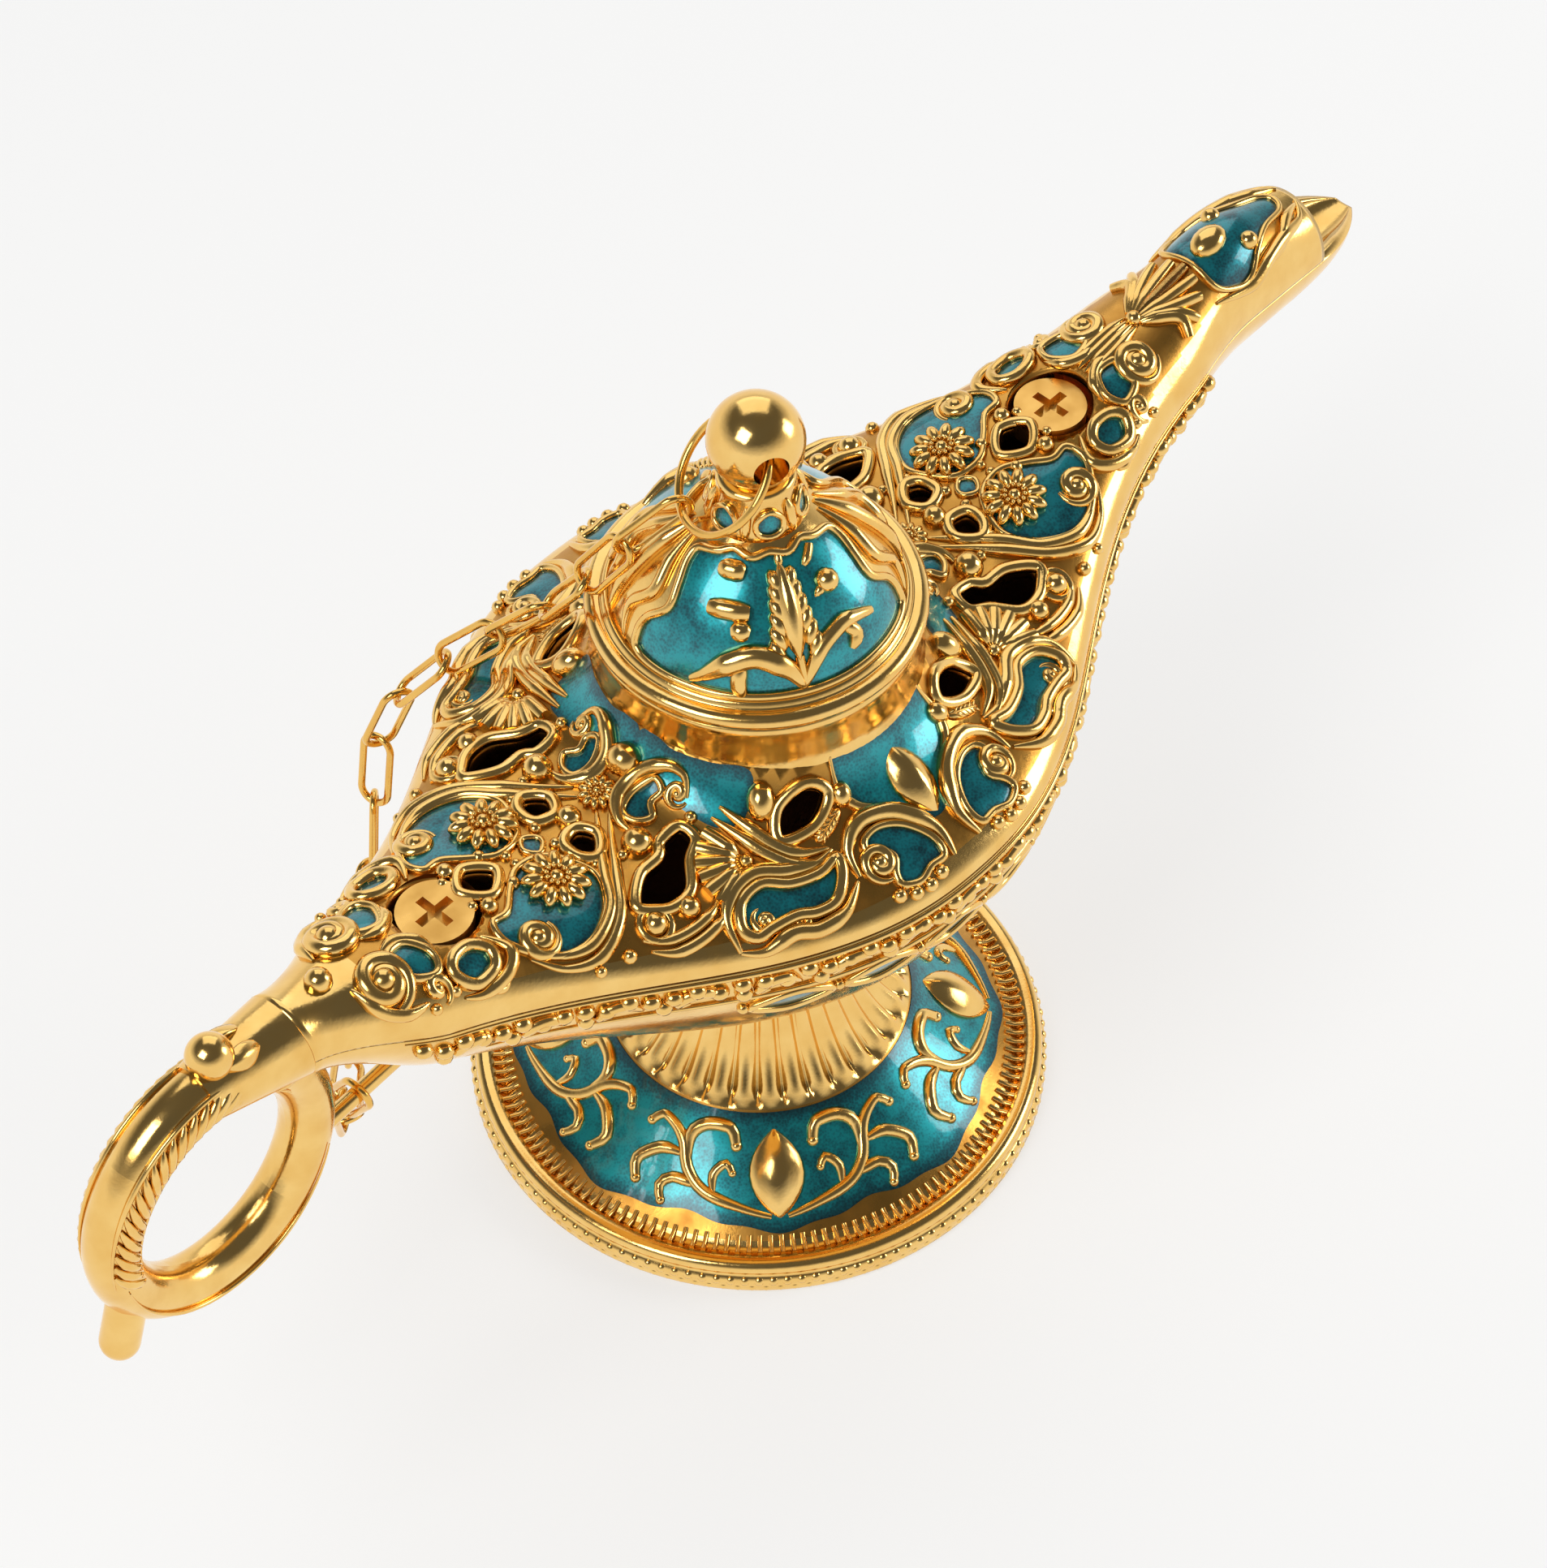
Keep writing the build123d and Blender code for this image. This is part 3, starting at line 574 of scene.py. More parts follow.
# Pierced cover. Places are for one quarter, in millimetres from the lamp's middle.
holes = {
    "bean": [(18.6, 7.4), (16.9, 6.3), (15.5, 6.3), (14.8, 5.6), (13.3, 5.6), (13.2, 6.8), (14.5, 7.4),
             (15.6, 8.5), (16.8, 8.7), (17.8, 8.3)],
    "underCollar": [(8.9, 10.5), (7.9, 9.5), (6.3, 9.8), (5.5, 10.7), (7.1, 11.0)],
    "small": [(18.7, 1.5), (17.7, 1.2), (17.2, 2.1), (18.0, 3.0), (18.7, 2.5)],
}
axisHole = [(26.4, 0), (25.2, 1.1), (23.9, 0), (25.2, -1.1)]
screw = {"place": 28.8, "bore": 2.9, "cupInner": 1.0, "cupWall": 2.92, "cupFloor": 1.56, "cupTop": 0.2}
coverWall = {"thick": 1.0, "across": 15.0, "columns": 215, "rows": 71}
# the smooth polished border: its width at the rim, and where it takes in the tail and the spout's end
border = {"width": 1.0, "blend": 0.8, "tail": -37.0, "tailBlend": 3.0, "spout": 53.0, "spoutBlend": 2.0}


def circle(centre, radius, count=48):
    return [(centre[0] + radius * cos(2 * pi * i / count), centre[1] + radius * sin(2 * pi * i / count))
            for i in range(count)]


def widened(outline, by):
    middle = np.mean(np.array(outline), axis=0)
    return [tuple(np.array(p) + by * (p - middle) / np.linalg.norm(p - middle)) for p in outline]


def coverMesh():
    across = coverWall["across"]
    loops = [[(sx * x, sy * y) for x, y in flow(h, True, 0.3)] for h in holes.values() for sx, sy in quarters]
    loops += [[(sx * x, y) for x, y in flow(axisHole, True, 0.3)] for sx in (-1, 1)]
    loops += [circle((sx * screw["place"], 0), screw["bore"]) for sx in (-1, 1)]
    loops.append(circle((0, 0), collar["radius"], 160))

    def flatten(p):
        return p[0], across * asin(max(-1, min(1, p[1] / halfWidth(p[0])))) * 2 / pi
    loops = [[flatten(p) for p in loop] for loop in loops]
    xs = np.linspace(bowl["tailEnd"], bowl["coverEnd"], coverWall["columns"])
    rows = np.linspace(-across, across, coverWall["rows"])
    outline = [(x, -across) for x in xs] + [(xs[-1], r) for r in rows[1:]]
    outline += [(x, across) for x in xs[::-1][1:]] + [(xs[0], r) for r in rows[::-1][1:-1]]
    dots, edges = [], []
    for loop in [outline] + loops:
        first = len(dots)
        dots += loop
        edges += [(first + i, first + (i + 1) % len(loop)) for i in range(len(loop))]
    boxes = [(*np.min(loop, axis=0).tolist(), *np.max(loop, axis=0).tolist(), loop) for loop in loops]

    def pierced(p):
        return any(a <= p[0] <= c and b <= p[1] <= d and inside(p, loop) for a, b, c, d, loop in boxes)
    for x in xs[1:-1]:
        for r in rows[1:-1]:
            if not pierced((x, r)):
                dots.append((float(x), float(r)))
    flat, _, tris, *_ = delaunay_2d_cdt([Vector(d) for d in dots], edges, [], 1, 1e-6)
    verts, shine = [], []
    for p in flat:
        w = halfWidth(p.x)
        y = w * sin(p.y / across * pi / 2)
        verts.append(coverAt(p.x, y))
        worked = ease((w - abs(y) - border["width"]) / border["blend"])
        worked *= ease((p.x - border["tail"]) / border["tailBlend"])
        shine.append(1 - worked * ease((border["spout"] - p.x) / border["spoutBlend"]))
    faces = []
    for t in tris:
        c = (sum(flat[i].x for i in t) / 3, sum(flat[i].y for i in t) / 3)
        if not pierced(c):
            faces.append(tuple(t))
    return verts, faces, shine


verts, faces, shine = coverMesh()
# the cover's ground between the scrollwork is gold darkened as painted shade of the hollows
cover = newObject("pierced_cover", verts, faces, finish=hollowShadeGold)
# the cover's underside, seen through the holes, takes the dark brown painted shade; the border takes polished
# gold
for finish in (recessShadeBrown, polishedGold):
    cover.data.materials.append(finish)
for polygon in cover.data.polygons:
    if min(shine[i] for i in polygon.vertices) > 0.5:
        polygon.material_index = 2
wall = cover.modifiers.new("wall", "SOLIDIFY")
wall.thickness = coverWall["thick"] * mm
wall.offset = -1
wall.material_offset = 1
settle(cover)
finishPiece(cover, stands=("upper_shell",))
print("cover ready", len(cover.data.polygons))


def turned(name, profile, finish, sides=160, ribs=None, at=0.0, **ride):
    # profile holds radius and height, and runs down where it faces out; at is its axis along the lamp
    verts, faces = [], []
    for i in range(sides):
        a = 2 * pi * i / sides
        for r, z in profile:
            out = ribs(a, z) if ribs else (0, 0)
            verts.append((at + (r + out[0]) * cos(a), (r + out[0]) * sin(a), max(z + out[1], 0.0)))
    n = len(profile)
    for i in range(sides):
        k = (i + 1) % sides
        faces += [(i * n + j, i * n + j + 1, k * n + j + 1, k * n + j) for j in range(n - 1)]
    return finishPiece(newObject(name, verts, faces, finish=finish), **ride)


# Collar: a straight polished wall round the mouth, with a rounded top and a small flare at its foot
collarProfile = [(9.3, 40.5), (9.2, 48.0), (9.4, 48.2), (10.3, 48.2), (10.6, 47.9), (10.55, 46.8),
                 (10.6, 45.6), (10.65, 45.0), (10.8, 44.4), (11.0, 43.7)]
turned("collar", flow(collarProfile, step=0.3), polishedGold)

# Counterbores that take the screws, in gold darkened as painted shade
for end in (-1, 1):
    at = end * screw["place"]
    top = rimHeight(at) + crownHeight(at)
    floorAt = top - screw["cupFloor"]
    cup = [(screw["cupInner"], floorAt), (screw["cupWall"], floorAt),
           (screw["cupWall"], top - screw["cupTop"])]
    turned(f"counterbore_{'tail' if end < 0 else 'spout'}", cup, hollowShadeGold, 48, at=at)

# Foot: beaded edge, smooth band, enamelled cone, ribbed stem
foot = {"middle": 14.2, "edge": 20.1, "beads": 260, "bead": (0.38, 0.44, 0.42), "rows": (0.42, 1.02),
        "teeth": 150, "tooth": 0.17, "firstSpray": 48}
stem = {"ribs": 34, "depth": 0.75, "middle": 0.6, "out": 0.6, "up": 0.8, "upFrom": 11.0, "upRun": 3.0,
        "bottom": 7.7, "bottomBlend": 0.6, "top": 18.4, "topBlend": 0.8}
footProfile = [(6.2, 18.4), (6.25, 16.6), (6.5, 14.6), (7.1, 12.4), (8.2, 10.2), (9.6, 8.5), (10.6, 7.6)]
coneProfile = [(10.6, 7.6), (12.4, 6.0), (14.5, 4.4), (16.3, 3.2), (17.8, 2.3)]
rimProfile = [(17.8, 2.3), (18.4, 2.0), (18.7, 2.15), (19.3, 2.45), (19.9, 2.35), (20.15, 1.9), (20.0, 1.5),
              (20.35, 1.2), (20.4, 0.6), (20.3, 0.0), (18.7, 0.0), (18.4, 0.3), (16.5, 1.3), (9.0, 6.2),
              (5.6, 12.4), (4.6, 14.4)]
toothLine = [(17.5, 2.5), (18.2, 2.25), (18.85, 2.35)]


def stemRibs(a, z):
    push = stem["depth"] * (abs(sin(stem["ribs"] * a / 2)) - stem["middle"])
    push *= ease((z - stem["bottom"]) / stem["bottomBlend"]) * ease((stem["top"] - z) / stem["topBlend"])
    return push * stem["out"], push * stem["up"] * ease((stem["upFrom"] - z) / stem["upRun"])


def coneHeight(r):
    return float(np.interp(r, [p[0] for p in coneProfile], [p[1] for p in coneProfile]))


def coneFrom(turn):
    # u is the way round in millimetres at the middle of the cone, v the radius
    def at(u, v):
        a = radians(turn) - u / foot["middle"]
        return v * cos(a), v * sin(a), coneHeight(v)
    return at


turned("foot_stem", flow(footProfile, step=0.4), polishedGold, 408, stemRibs, stands=("foot",))
# the cone's ground is gold darkened as painted shade
turned("foot_cone", flow(coneProfile, step=0.5), hollowShadeGold, 160)
turned("foot_rim", flow(rimProfile, step=0.3), polishedGold, 200)
sprays = [
    ([(0.5, 16.4), (2.4, 15.9), (4.9, 15.2), (6.3, 14.1), (7.0, 12.9), (8.0, 12.2), (9.4, 11.9),
      (10.1, 12.5)], 0.3),
    ([(4.2, 15.3), (4.4, 14.2), (3.6, 13.5), (3.1, 14.0)], 0.24),
    ([(6.3, 14.0), (6.7, 12.4), (5.6, 11.6), (3.6, 11.6), (3.0, 12.5)], 0.34),
    ([(6.9, 13.5), (8.5, 13.6), (9.8, 14.7), (9.3, 15.8)], 0.32),
    ([(5.2, 15.0), (7.0, 14.9), (7.7, 15.6), (7.3, 16.4)], 0.28),
]
footWork = Drawing(weight=1.55)
# the cone's enamel, with a wavy outer edge
wave = {"inner": 10.75, "outer": 16.95, "swing": 0.35, "swings": 8, "ripple": 0.12, "ripples": 24,
        "lift": 0.06, "least": 0.12, "shadeRun": 1.1, "rows": 16, "sides": 360}
verts, depth = [], []
for i in range(wave["sides"]):
    a = 2 * pi * i / wave["sides"]
    turn = a - radians(foot["firstSpray"])
    edge = wave["outer"] + wave["swing"] * cos(wave["swings"] * turn)
    edge += wave["ripple"] * cos(wave["ripples"] * turn)
    for j in range(wave["rows"]):
        r = wave["inner"] + (edge - wave["inner"]) * j / (wave["rows"] - 1)
        verts.append((r * cos(a), r * sin(a), coneHeight(r) + wave["lift"]))
        # painted shade along both edges of the cone's enamel
        depth.append(min(1.0, wave["least"] + min(r - wave["inner"], edge - r) / wave["shadeRun"]))
faces = []
for i in range(wave["sides"]):
    k = (i + 1) % wave["sides"]
    for j in range(wave["rows"] - 1):
        faces.append(tuple(m * wave["rows"] + n for m, n in ((i, j), (i, j + 1), (k, j + 1), (k, j))))
footPools = [(verts, faces, depth)]
for turn in range(foot["firstSpray"], 360, 90):
    footWork.surface = coneFrom(turn)
    for path, half in sprays:
        footWork.line(path, half, copies=bothEnds, step=0.35, rise=0.0, taper=(0.45, 0.75))
        footWork.stamp("bead", path[-1], half * 1.35, copies=bothEnds, rise=0.0)
    footWork.stamp("almond", (0, 14.0), (3.15, 1.95, 1.0), 90)
edgeBeads = []
for i in range(foot["beads"]):
    a = 2 * pi * i / foot["beads"]
    outward = np.array((cos(a), sin(a), 0.0))
    place = outward * foot["edge"] + np.array((0, 0, foot["rows"][i % 2]))
    edgeBeads.append((place, outward, np.array((0, 0, 1.0)), foot["bead"]))
for i in range(foot["teeth"]):
    a = 2 * pi * i / foot["teeth"]
    tooth = [(np.array((r * cos(a), r * sin(a), z)), foot["tooth"]) for r, z in toothLine]
    footWork.wires.append((tooth, False))
print("foot ready")

# Bowl: smooth gold outside and in the lip; inside, dark brown painted shade that shows through the holes
bowlWall = {"thick": 1.1, "share": 0.35, "goldFrom": 51.0, "gutterFrom": 52.0, "gutter": 2.4,
            "gutterEnd": 0.05, "bodyRows": 160, "lipRows": 60, "lipStep": 0.25, "columns": 81}
bossProfile = [(6.0, 19.8), (6.2, 18.5), (6.1, 18.4), (1.0, 18.4)]


def bowlInside(x, a):
    w, d = halfWidth(x), keelDepth(x)
    thick = min(bowlWall["thick"], bowlWall["share"] * w, bowlWall["share"] * d)
    deep = d - thick
    if x > bowlWall["gutterFrom"]:
        runOut = (bowl["lipTip"] - x) / (bowl["lipTip"] - bowlWall["gutterFrom"])
        deep = min(deep, bowlWall["gutterEnd"] + bowlWall["gutter"] * runOut)
    return x, -(w - thick) * cos(radians(a)), rimHeight(x) - deep * sin(radians(a))


bodyXs = np.linspace(bowl["tailEnd"], bowl["lipStart"], bowlWall["bodyRows"])
lipXs = np.linspace(bowl["lipStart"] + bowlWall["lipStep"], bowl["lipTip"], bowlWall["lipRows"])
bowlXs = np.concatenate([bodyXs, lipXs])
angles = np.linspace(0, 180, bowlWall["columns"])
rows, n = len(bowlXs), len(angles)
verts = [at(x, a) for at in (bowlAt, bowlInside) for x in bowlXs for a in angles]
faces = []
for i in range(rows - 1):
    for j in range(n - 1):
        quad = [i * n + j, i * n + j + 1, (i + 1) * n + j + 1, (i + 1) * n + j]
        faces.append(tuple(quad))
        faces.append(tuple(k + rows * n for k in quad[::-1]))
    for j in (0, n - 1):
        strip = (i * n + j, (i + 1) * n + j, (i + 1 + rows) * n + j, (i + rows) * n + j)
        faces.append(strip if j == 0 else strip[::-1])
for i in (0, rows - 1):
    for j in range(n - 1):
        strip = (i * n + j, i * n + j + 1, (i + rows) * n + j + 1, (i + rows) * n + j)
        faces.append(strip[::-1] if i == 0 else strip)
lowerShell = newObject("bowl_shell", verts, faces, finish=polishedGold)
lowerShell.data.materials.append(recessShadeBrown)
for polygon in lowerShell.data.polygons:
    hidden = all(k >= rows * n for k in polygon.vertices)
    if hidden and polygon.center.x < bowlWall["goldFrom"] * mm:
        polygon.material_index = 1
finishPiece(lowerShell, stands=("lower_shell",))
turned("bowl_boss", bossProfile, polishedGold, 96)

# Lid: rolled ring, enamelled dome, cap
lid = {"middle": 7.5, "capMiddle": 2.8, "panels": (235, 55), "windows": 6}
ringProfile = [(7.9, 45.3), (9.1, 45.3), (9.1, 48.22), (10.4, 48.25), (10.8, 48.5), (10.9, 48.85),
               (10.7, 49.25), (10.2, 49.4), (9.9, 49.35), (9.75, 49.6), (9.5, 49.75), (9.3, 49.6)]
domeProfile = [(9.3, 49.6), (9.05, 50.5), (8.6, 51.6), (7.9, 52.8), (7.0, 53.9), (5.9, 55.0), (4.8, 55.9),
               (3.7, 56.7), (3.1, 57.1)]
capProfile = [(3.1, 57.1), (3.0, 57.6), (2.75, 58.4), (2.55, 59.3), (2.5, 60.0), (2.3, 60.35), (1.2, 60.4)]
for name, profile in (("lid_ring", ringProfile), ("lid_cap", capProfile), ("lid_dome", domeProfile)):
    turned(name, flow(profile, step=0.25)[::-1], polishedGold, body="lid",
           stands=("lid",) if name == "lid_ring" else ())
domeLine = np.array(flow(domeProfile, step=0.1))
domeLength = np.concatenate([[0], np.cumsum(np.linalg.norm(np.diff(domeLine, axis=0), axis=1))])


def domeFrom(turn):
    # u is the way round in millimetres at the dome's middle, v the way up it
    def at(u, v):
        a = radians(turn) + u / lid["middle"]
        r = np.interp(v, domeLength, domeLine[:, 0])
        return r * cos(a), r * sin(a), float(np.interp(v, domeLength, domeLine[:, 1]))
    return at


panel = [(0, 0.35), (4.5, 0.35), (8.2, 0.5), (8.8, 1.6), (8.6, 3.0), (7.6, 4.4), (7.9, 6.0), (8.6, 7.6),
         (8.4, 8.5), (6.2, 9.0), (4.4, 9.5), (2.2, 9.1), (0, 9.4)]
panel += [(-u, v) for u, v in panel[-2:0:-1]]
spear = {"kernels": 6, "kernel": (0.95, 0.5, 0.6), "axis": 0.75, "from": 3.2, "pitch": 0.85, "out": 1.1,
         "narrowing": 0.09, "lean": 25}
lidWork = Drawing(weight=1.35)
lidPools = []
for turn in lid["panels"]:
    lidWork.surface = domeFrom(turn)
    lidPools.append(patchOf(lidWork.surface, panel, [(1, 1)], 0.3, 0.04, 0.05))
    lidWork.line(panel, 0.22, closed=True, rise=0.5)
    # wheat spear with its stalk, two leaves and a sprig
    lidWork.line([(0.9, 0.7), (0.85, 1.8), (0.8, 2.8)], 0.24, taper=(0.5, 1))
    for i in range(spear["kernels"]):
        for side in (-1, 1):
            out = side * (spear["out"] - spear["narrowing"] * i)
            kernelAt = (spear["axis"] + out, spear["from"] + spear["pitch"] * i)
            lidWork.stamp("bead", kernelAt, spear["kernel"], 90 - side * spear["lean"])
    lidWork.stamp("almond", (spear["axis"], 5.6), (3.1, 0.95, 0.95), 90)
    lidWork.line([(0.8, 8.2), (0.9, 8.9), (1.2, 9.5)], 0.2)
    lidWork.line([(0.9, 0.6), (0.0, 2.2), (-1.5, 3.1), (-3.0, 2.6), (-4.4, 1.4), (-5.0, 0.9)], 0.6,
                 taper=(0.25, 0.3))
    lidWork.line([(-2.4, 2.6), (-2.5, 1.4), (-2.3, 0.5)], 0.42, taper=(0.6, 0.6))
    lidWork.line([(0.9, 0.8), (2.0, 2.8), (3.7, 3.7), (4.9, 3.5), (6.0, 3.0)], 0.42, taper=(0.4, 0.5))
    lidWork.line([(3.9, 3.5), (4.4, 2.6), (3.9, 1.8)], 0.36, taper=(0.7, 0.5))
    for u0, u1, v in ((-5.0, -2.8, 8.1), (-4.9, -2.1, 5.7), (-3.0, -2.1, 4.5)):
        lidWork.line([(u0, v), ((u0 + u1) / 2, v + 0.08), (u1, v)], 0.52, taper=(0.75, 0.75))
    lidWork.stamp("bead", (4.3, 6.4), 0.85)
    lidWork.line([(2.9, 5.9), (3.6, 6.2), (4.3, 6.4)], 0.24)
    lidWork.line([(3.2, 7.9), (4.0, 8.3), (5.0, 8.8)], 0.24, taper=(0.5, 0.9))
    # wavy ribs on the gold between the panels
    between = lid["middle"] * pi / 2
    waves = [(2.0, 0.3), (1.6, 2.6), (2.6, 4.6), (1.9, 6.8), (1.2, 9.2)]
    for lean in (-1, 1):
        lidWork.line([(between + lean * u, v) for u, v in waves], 0.32)
    lidWork.line([(between, 0.3), (between, 5.0), (between, 9.4)], 0.4)


def capFrom(turn):
    heights, radii = [57.3, 58.4, 59.4], [3.08, 2.75, 2.52]

    def at(u, v):
        a = radians(turn) + u / lid["capMiddle"]
        r = float(np.interp(v, heights, radii))
        return r * cos(a), r * sin(a), v
    return at


window = [(0, 57.5), (0.75, 57.8), (0.8, 58.6), (0, 59.2), (-0.8, 58.6), (-0.75, 57.8)]
for turn in range(0, 360, 360 // lid["windows"]):
    lidWork.surface = capFrom(turn)
    lidPools.append(patchOf(lidWork.surface, window, [(1, 1)], 0.3, 0.03, 0.04))
    lidWork.line(window, 0.16, closed=True, rise=0.5)
    lidWork.line([(1.45, 57.2), (1.45, 58.4), (1.45, 59.6)], 0.26)
print("lid ready")

# The handle, finial, wire pieces and screws keep their solids
solidFinish = {"handle": polishedGold, "finial_ball": polishedGold, "finial_ring": wireGold,
               "shell_screws": satinGold, "foot_screw": satinGold}
for name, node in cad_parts.items():
    finish = wireGold if name.startswith("chain_link") else solidFinish.get(name)
    if finish:
        node.data.materials.clear()
        node.data.materials.append(finish)

# Scrollwork of the cover, drawn for one quarter and mirrored to the others
work = Drawing(coverAt, 1.4, quarters)
pools = []


def pool(outline, frameThick, copies=quarters):
    pools.append(patchOf(coverAt, outline, copies))
    work.line(outline, frameThick, closed=True, copies=copies, rise=0.55)


# teal beside the collar, then the pockets from the middle to the ends, and the one on the spout
endPool = [(10.75, 0.0), (12.9, 0.2), (12.7, 2.4), (12.2, 4.4), (11.9, 6.0), (11.4, 7.3), (10.3, 8.1),
           (9.2, 7.9), (8.2, 7.1), (9.5, 5.0), (10.4, 2.7)]
sidePool = [(0, 10.5), (2.4, 10.3), (4.0, 9.9), (4.5, 11.0), (4.1, 12.3), (3.0, 13.3), (2.0, 14.4),
            (0.7, 15.6)]
sidePool += [(-x, y) for x, y in sidePool[:0:-1]]
collarPools = [patchOf(coverAt, endPool, quarters, lift=0.03, swell=0.03),
               patchOf(coverAt, sidePool, bothSides, lift=0.03, swell=0.03)]
# the collar ring takes the lighter enamel as painted highlight
enamelObject("collar_enamel", collarPools)
work.line(sidePool[2:8], 0.26)
pool([(15.0, 12.6), (13.9, 11.5), (12.1, 11.5), (10.7, 12.75), (8.9, 13.5), (7.4, 13.5), (7.9, 14.5),
      (9.3, 15.3), (10.7, 15.0), (11.8, 14.3), (13.4, 13.8), (14.6, 13.5)], 0.32)
pool([(5.2, 13.9), (3.9, 13.9), (2.5, 14.8), (1.6, 16.4), (1.8, 17.6), (3.0, 17.6), (4.2, 17.8), (5.3, 17.3),
      (5.2, 16.6), (4.5, 15.8), (5.0, 14.8), (5.6, 14.5)], 0.2)
pool([(14.6, 2.1), (13.3, 1.7), (11.9, 2.3), (12.1, 3.2), (13.0, 3.1), (13.7, 3.8), (14.6, 3.1)], 0.2)
pool([(25.6, 2.9), (26.9, 3.0), (27.1, 4.6), (25.2, 6.7), (22.8, 7.3), (20.6, 6.4), (19.3, 4.7), (19.4, 3.2),
      (20.6, 1.2), (22.6, 0.8), (24.2, 1.8)], 0.2)
pool([(31.4, 4.2), (30.7, 3.4), (29.3, 3.3), (28.4, 4.1), (28.9, 5.1), (30.6, 5.2)], 0.32)
pool([(33.9, 1.2), (32.4, 1.0), (31.5, 2.4), (32.1, 3.6), (33.5, 3.3), (34.0, 2.4)], 0.22)
pool([(21.2, 0.0), (20.6, 0.8), (19.8, 0.3), (19.8, -0.3), (20.6, -0.8)], 0.15, bothEnds)
pool([(43.0, 0.0), (43.1, 2.2), (44.6, 2.9), (46.2, 2.9), (47.6, 2.2), (49.4, 1.4), (51.6, 0.9), (52.2, 0.0),
      (51.6, -0.9), (49.4, -1.4), (47.6, -2.2), (46.2, -2.9), (44.6, -2.9), (43.1, -2.2)], 0.17, [(1, 1)])
enamelObject("cover_enamel", pools, deepEnamel)
print("enamel ready")

# frames, bands and volutes of one quarter
for offset in (-0.38, 0.38):
    work.line([(26.6, 5.6 + offset), (25.2, 7.1 + offset), (22.9, 7.9 + offset), (20.4, 7.0 + offset),
               (18.6 - offset * 0.6, 4.9 + offset * 0.8), (17.0 - offset * 0.6, 3.0 + offset * 0.8),
               (15.4 - offset * 0.5, 1.2 + offset)], 0.33)
    work.line([(10.9 + offset, 6.6), (10.5 + offset, 8.6), (10.1 + offset, 10.4),
               (9.2 + offset * 0.7, 12.1 + offset * 0.7), (7.3, 13.2 + offset)], 0.36)
    work.line([(20.2, 9.6 + offset), (18.9, 10.6 + offset), (17.0, 11.1 + offset), (15.2, 11.0 + offset),
               (14.4, 10.3 + offset)], 0.3)
work.line([(15.2, 3.9), (15.2, 2.4), (14.0, 1.15), (12.3, 1.2), (11.1, 2.5), (10.8, 3.9), (11.5, 4.7)], 0.4)
work.curl((11.7, 4.1), 0.75, 90, 1.2, 0.24, -1)
work.line([(7.1, 15.3), (6.5, 13.7), (4.7, 12.9), (2.4, 13.9), (1.0, 16.1), (1.2, 18.0)], 0.45)
work.curl((5.5, 15.5), 1.2, 100, 1.5, 0.3, -1)
work.line([(15.9, 13.4), (15.3, 11.6), (13.7, 10.7), (11.9, 10.8), (10.4, 12.0), (8.8, 12.9), (7.2, 13.0)],
          0.42)
work.line([(15.9, 13.4), (14.6, 14.3), (12.6, 14.8), (11.2, 15.7), (9.2, 16.1), (7.4, 15.4)], 0.4)
work.curl((13.6, 13.2), 0.8, 250, 1.2, 0.24, 1)
work.curl((11.6, 14.7), 0.55, 250, 1.0, 0.2, 1)
work.curl((25.3, 5.3), 1.3, 200, 1.6, 0.34, -1)
work.curl((35.3, 2.3), 1.8, 20, 1.9, 0.42, 1, tailSides)
work.curl((34.9, 2.3), 1.5, 20, 1.9, 0.38, 1, bothSides)
work.curl((32.8, 4.3), 0.85, 90, 1.1, 0.26, 1)
work.curl((29.2, 5.5), 0.8, 180, 1.2, 0.24, -1)
work.line([(37.2, 1.6), (36.6, 3.3), (35.2, 4.3), (33.8, 4.6)], 0.34, copies=tailSides)
work.line([(31.6, 5.4), (30.3, 5.8), (28.3, 5.7), (27.3, 4.8), (28.1, 3.2)], 0.34)
work.line([(34.2, 0.9), (32.9, 0.55), (31.6, 1.3), (31.2, 2.6)], 0.3)
for hole in holes.values():
    work.line(widened(hole, 0.38), 0.34, closed=True, rise=0.2)
work.line(widened(axisHole, 0.3), 0.3, closed=True, copies=bothEnds, rise=0.2)

# fan of ribs beside the collar
fan = {"hub": (11.7, 9.9), "ribs": 6, "from": 100, "to": 195, "near": (0.5, 0.5), "tip": (3.255, 3.1)}
for a in np.radians(np.linspace(fan["from"], fan["to"], fan["ribs"])):
    near, tip = (np.array(fan["hub"]) - np.array(fan[key]) * (cos(a), sin(a)) for key in ("near", "tip"))
    work.line([near, (near + tip) / 2, tip], 0.42, taper=(0.3, 0.9))
work.stamp("bead", fan["hub"], 0.55)
work.stamp("pearl", (8.6, 8.3), (1.35, 0.95, 0.95), 45)

# palmette and ribs on the spout's neck
for i, (tx, ty) in enumerate([(42.6, 0.0), (42.4, 1.0), (41.8, 2.0), (40.6, 2.8), (39.2, 3.3)]):
    work.line([(37.4, 0.15 * i), (39.5, ty * 0.62), (tx, ty)], 0.34, taper=(0.4, 0.8), copies=bothSides)
for y in (0.25, 0.75):
    work.line([(31.9, y), (34.5, y), (37.0, y * 0.7)], 0.26, copies=bothSides)
work.stamp("pearl", (37.3, 0), 0.6, copies=[(1, 1)])
work.line([(42.6, 2.9), (44.6, 3.1), (46.4, 3.1), (48.2, 2.75), (50.4, 2.3), (52.6, 1.9), (53.6, 0.8)], 0.36,
          copies=bothSides)
work.line([(47.6, 3.0), (49.6, 2.6), (51.4, 1.6), (53.4, 1.0)], 0.3, copies=bothSides)
work.stamp("pearl", (47.3, 1.6), 0.7, copies=bothSides)
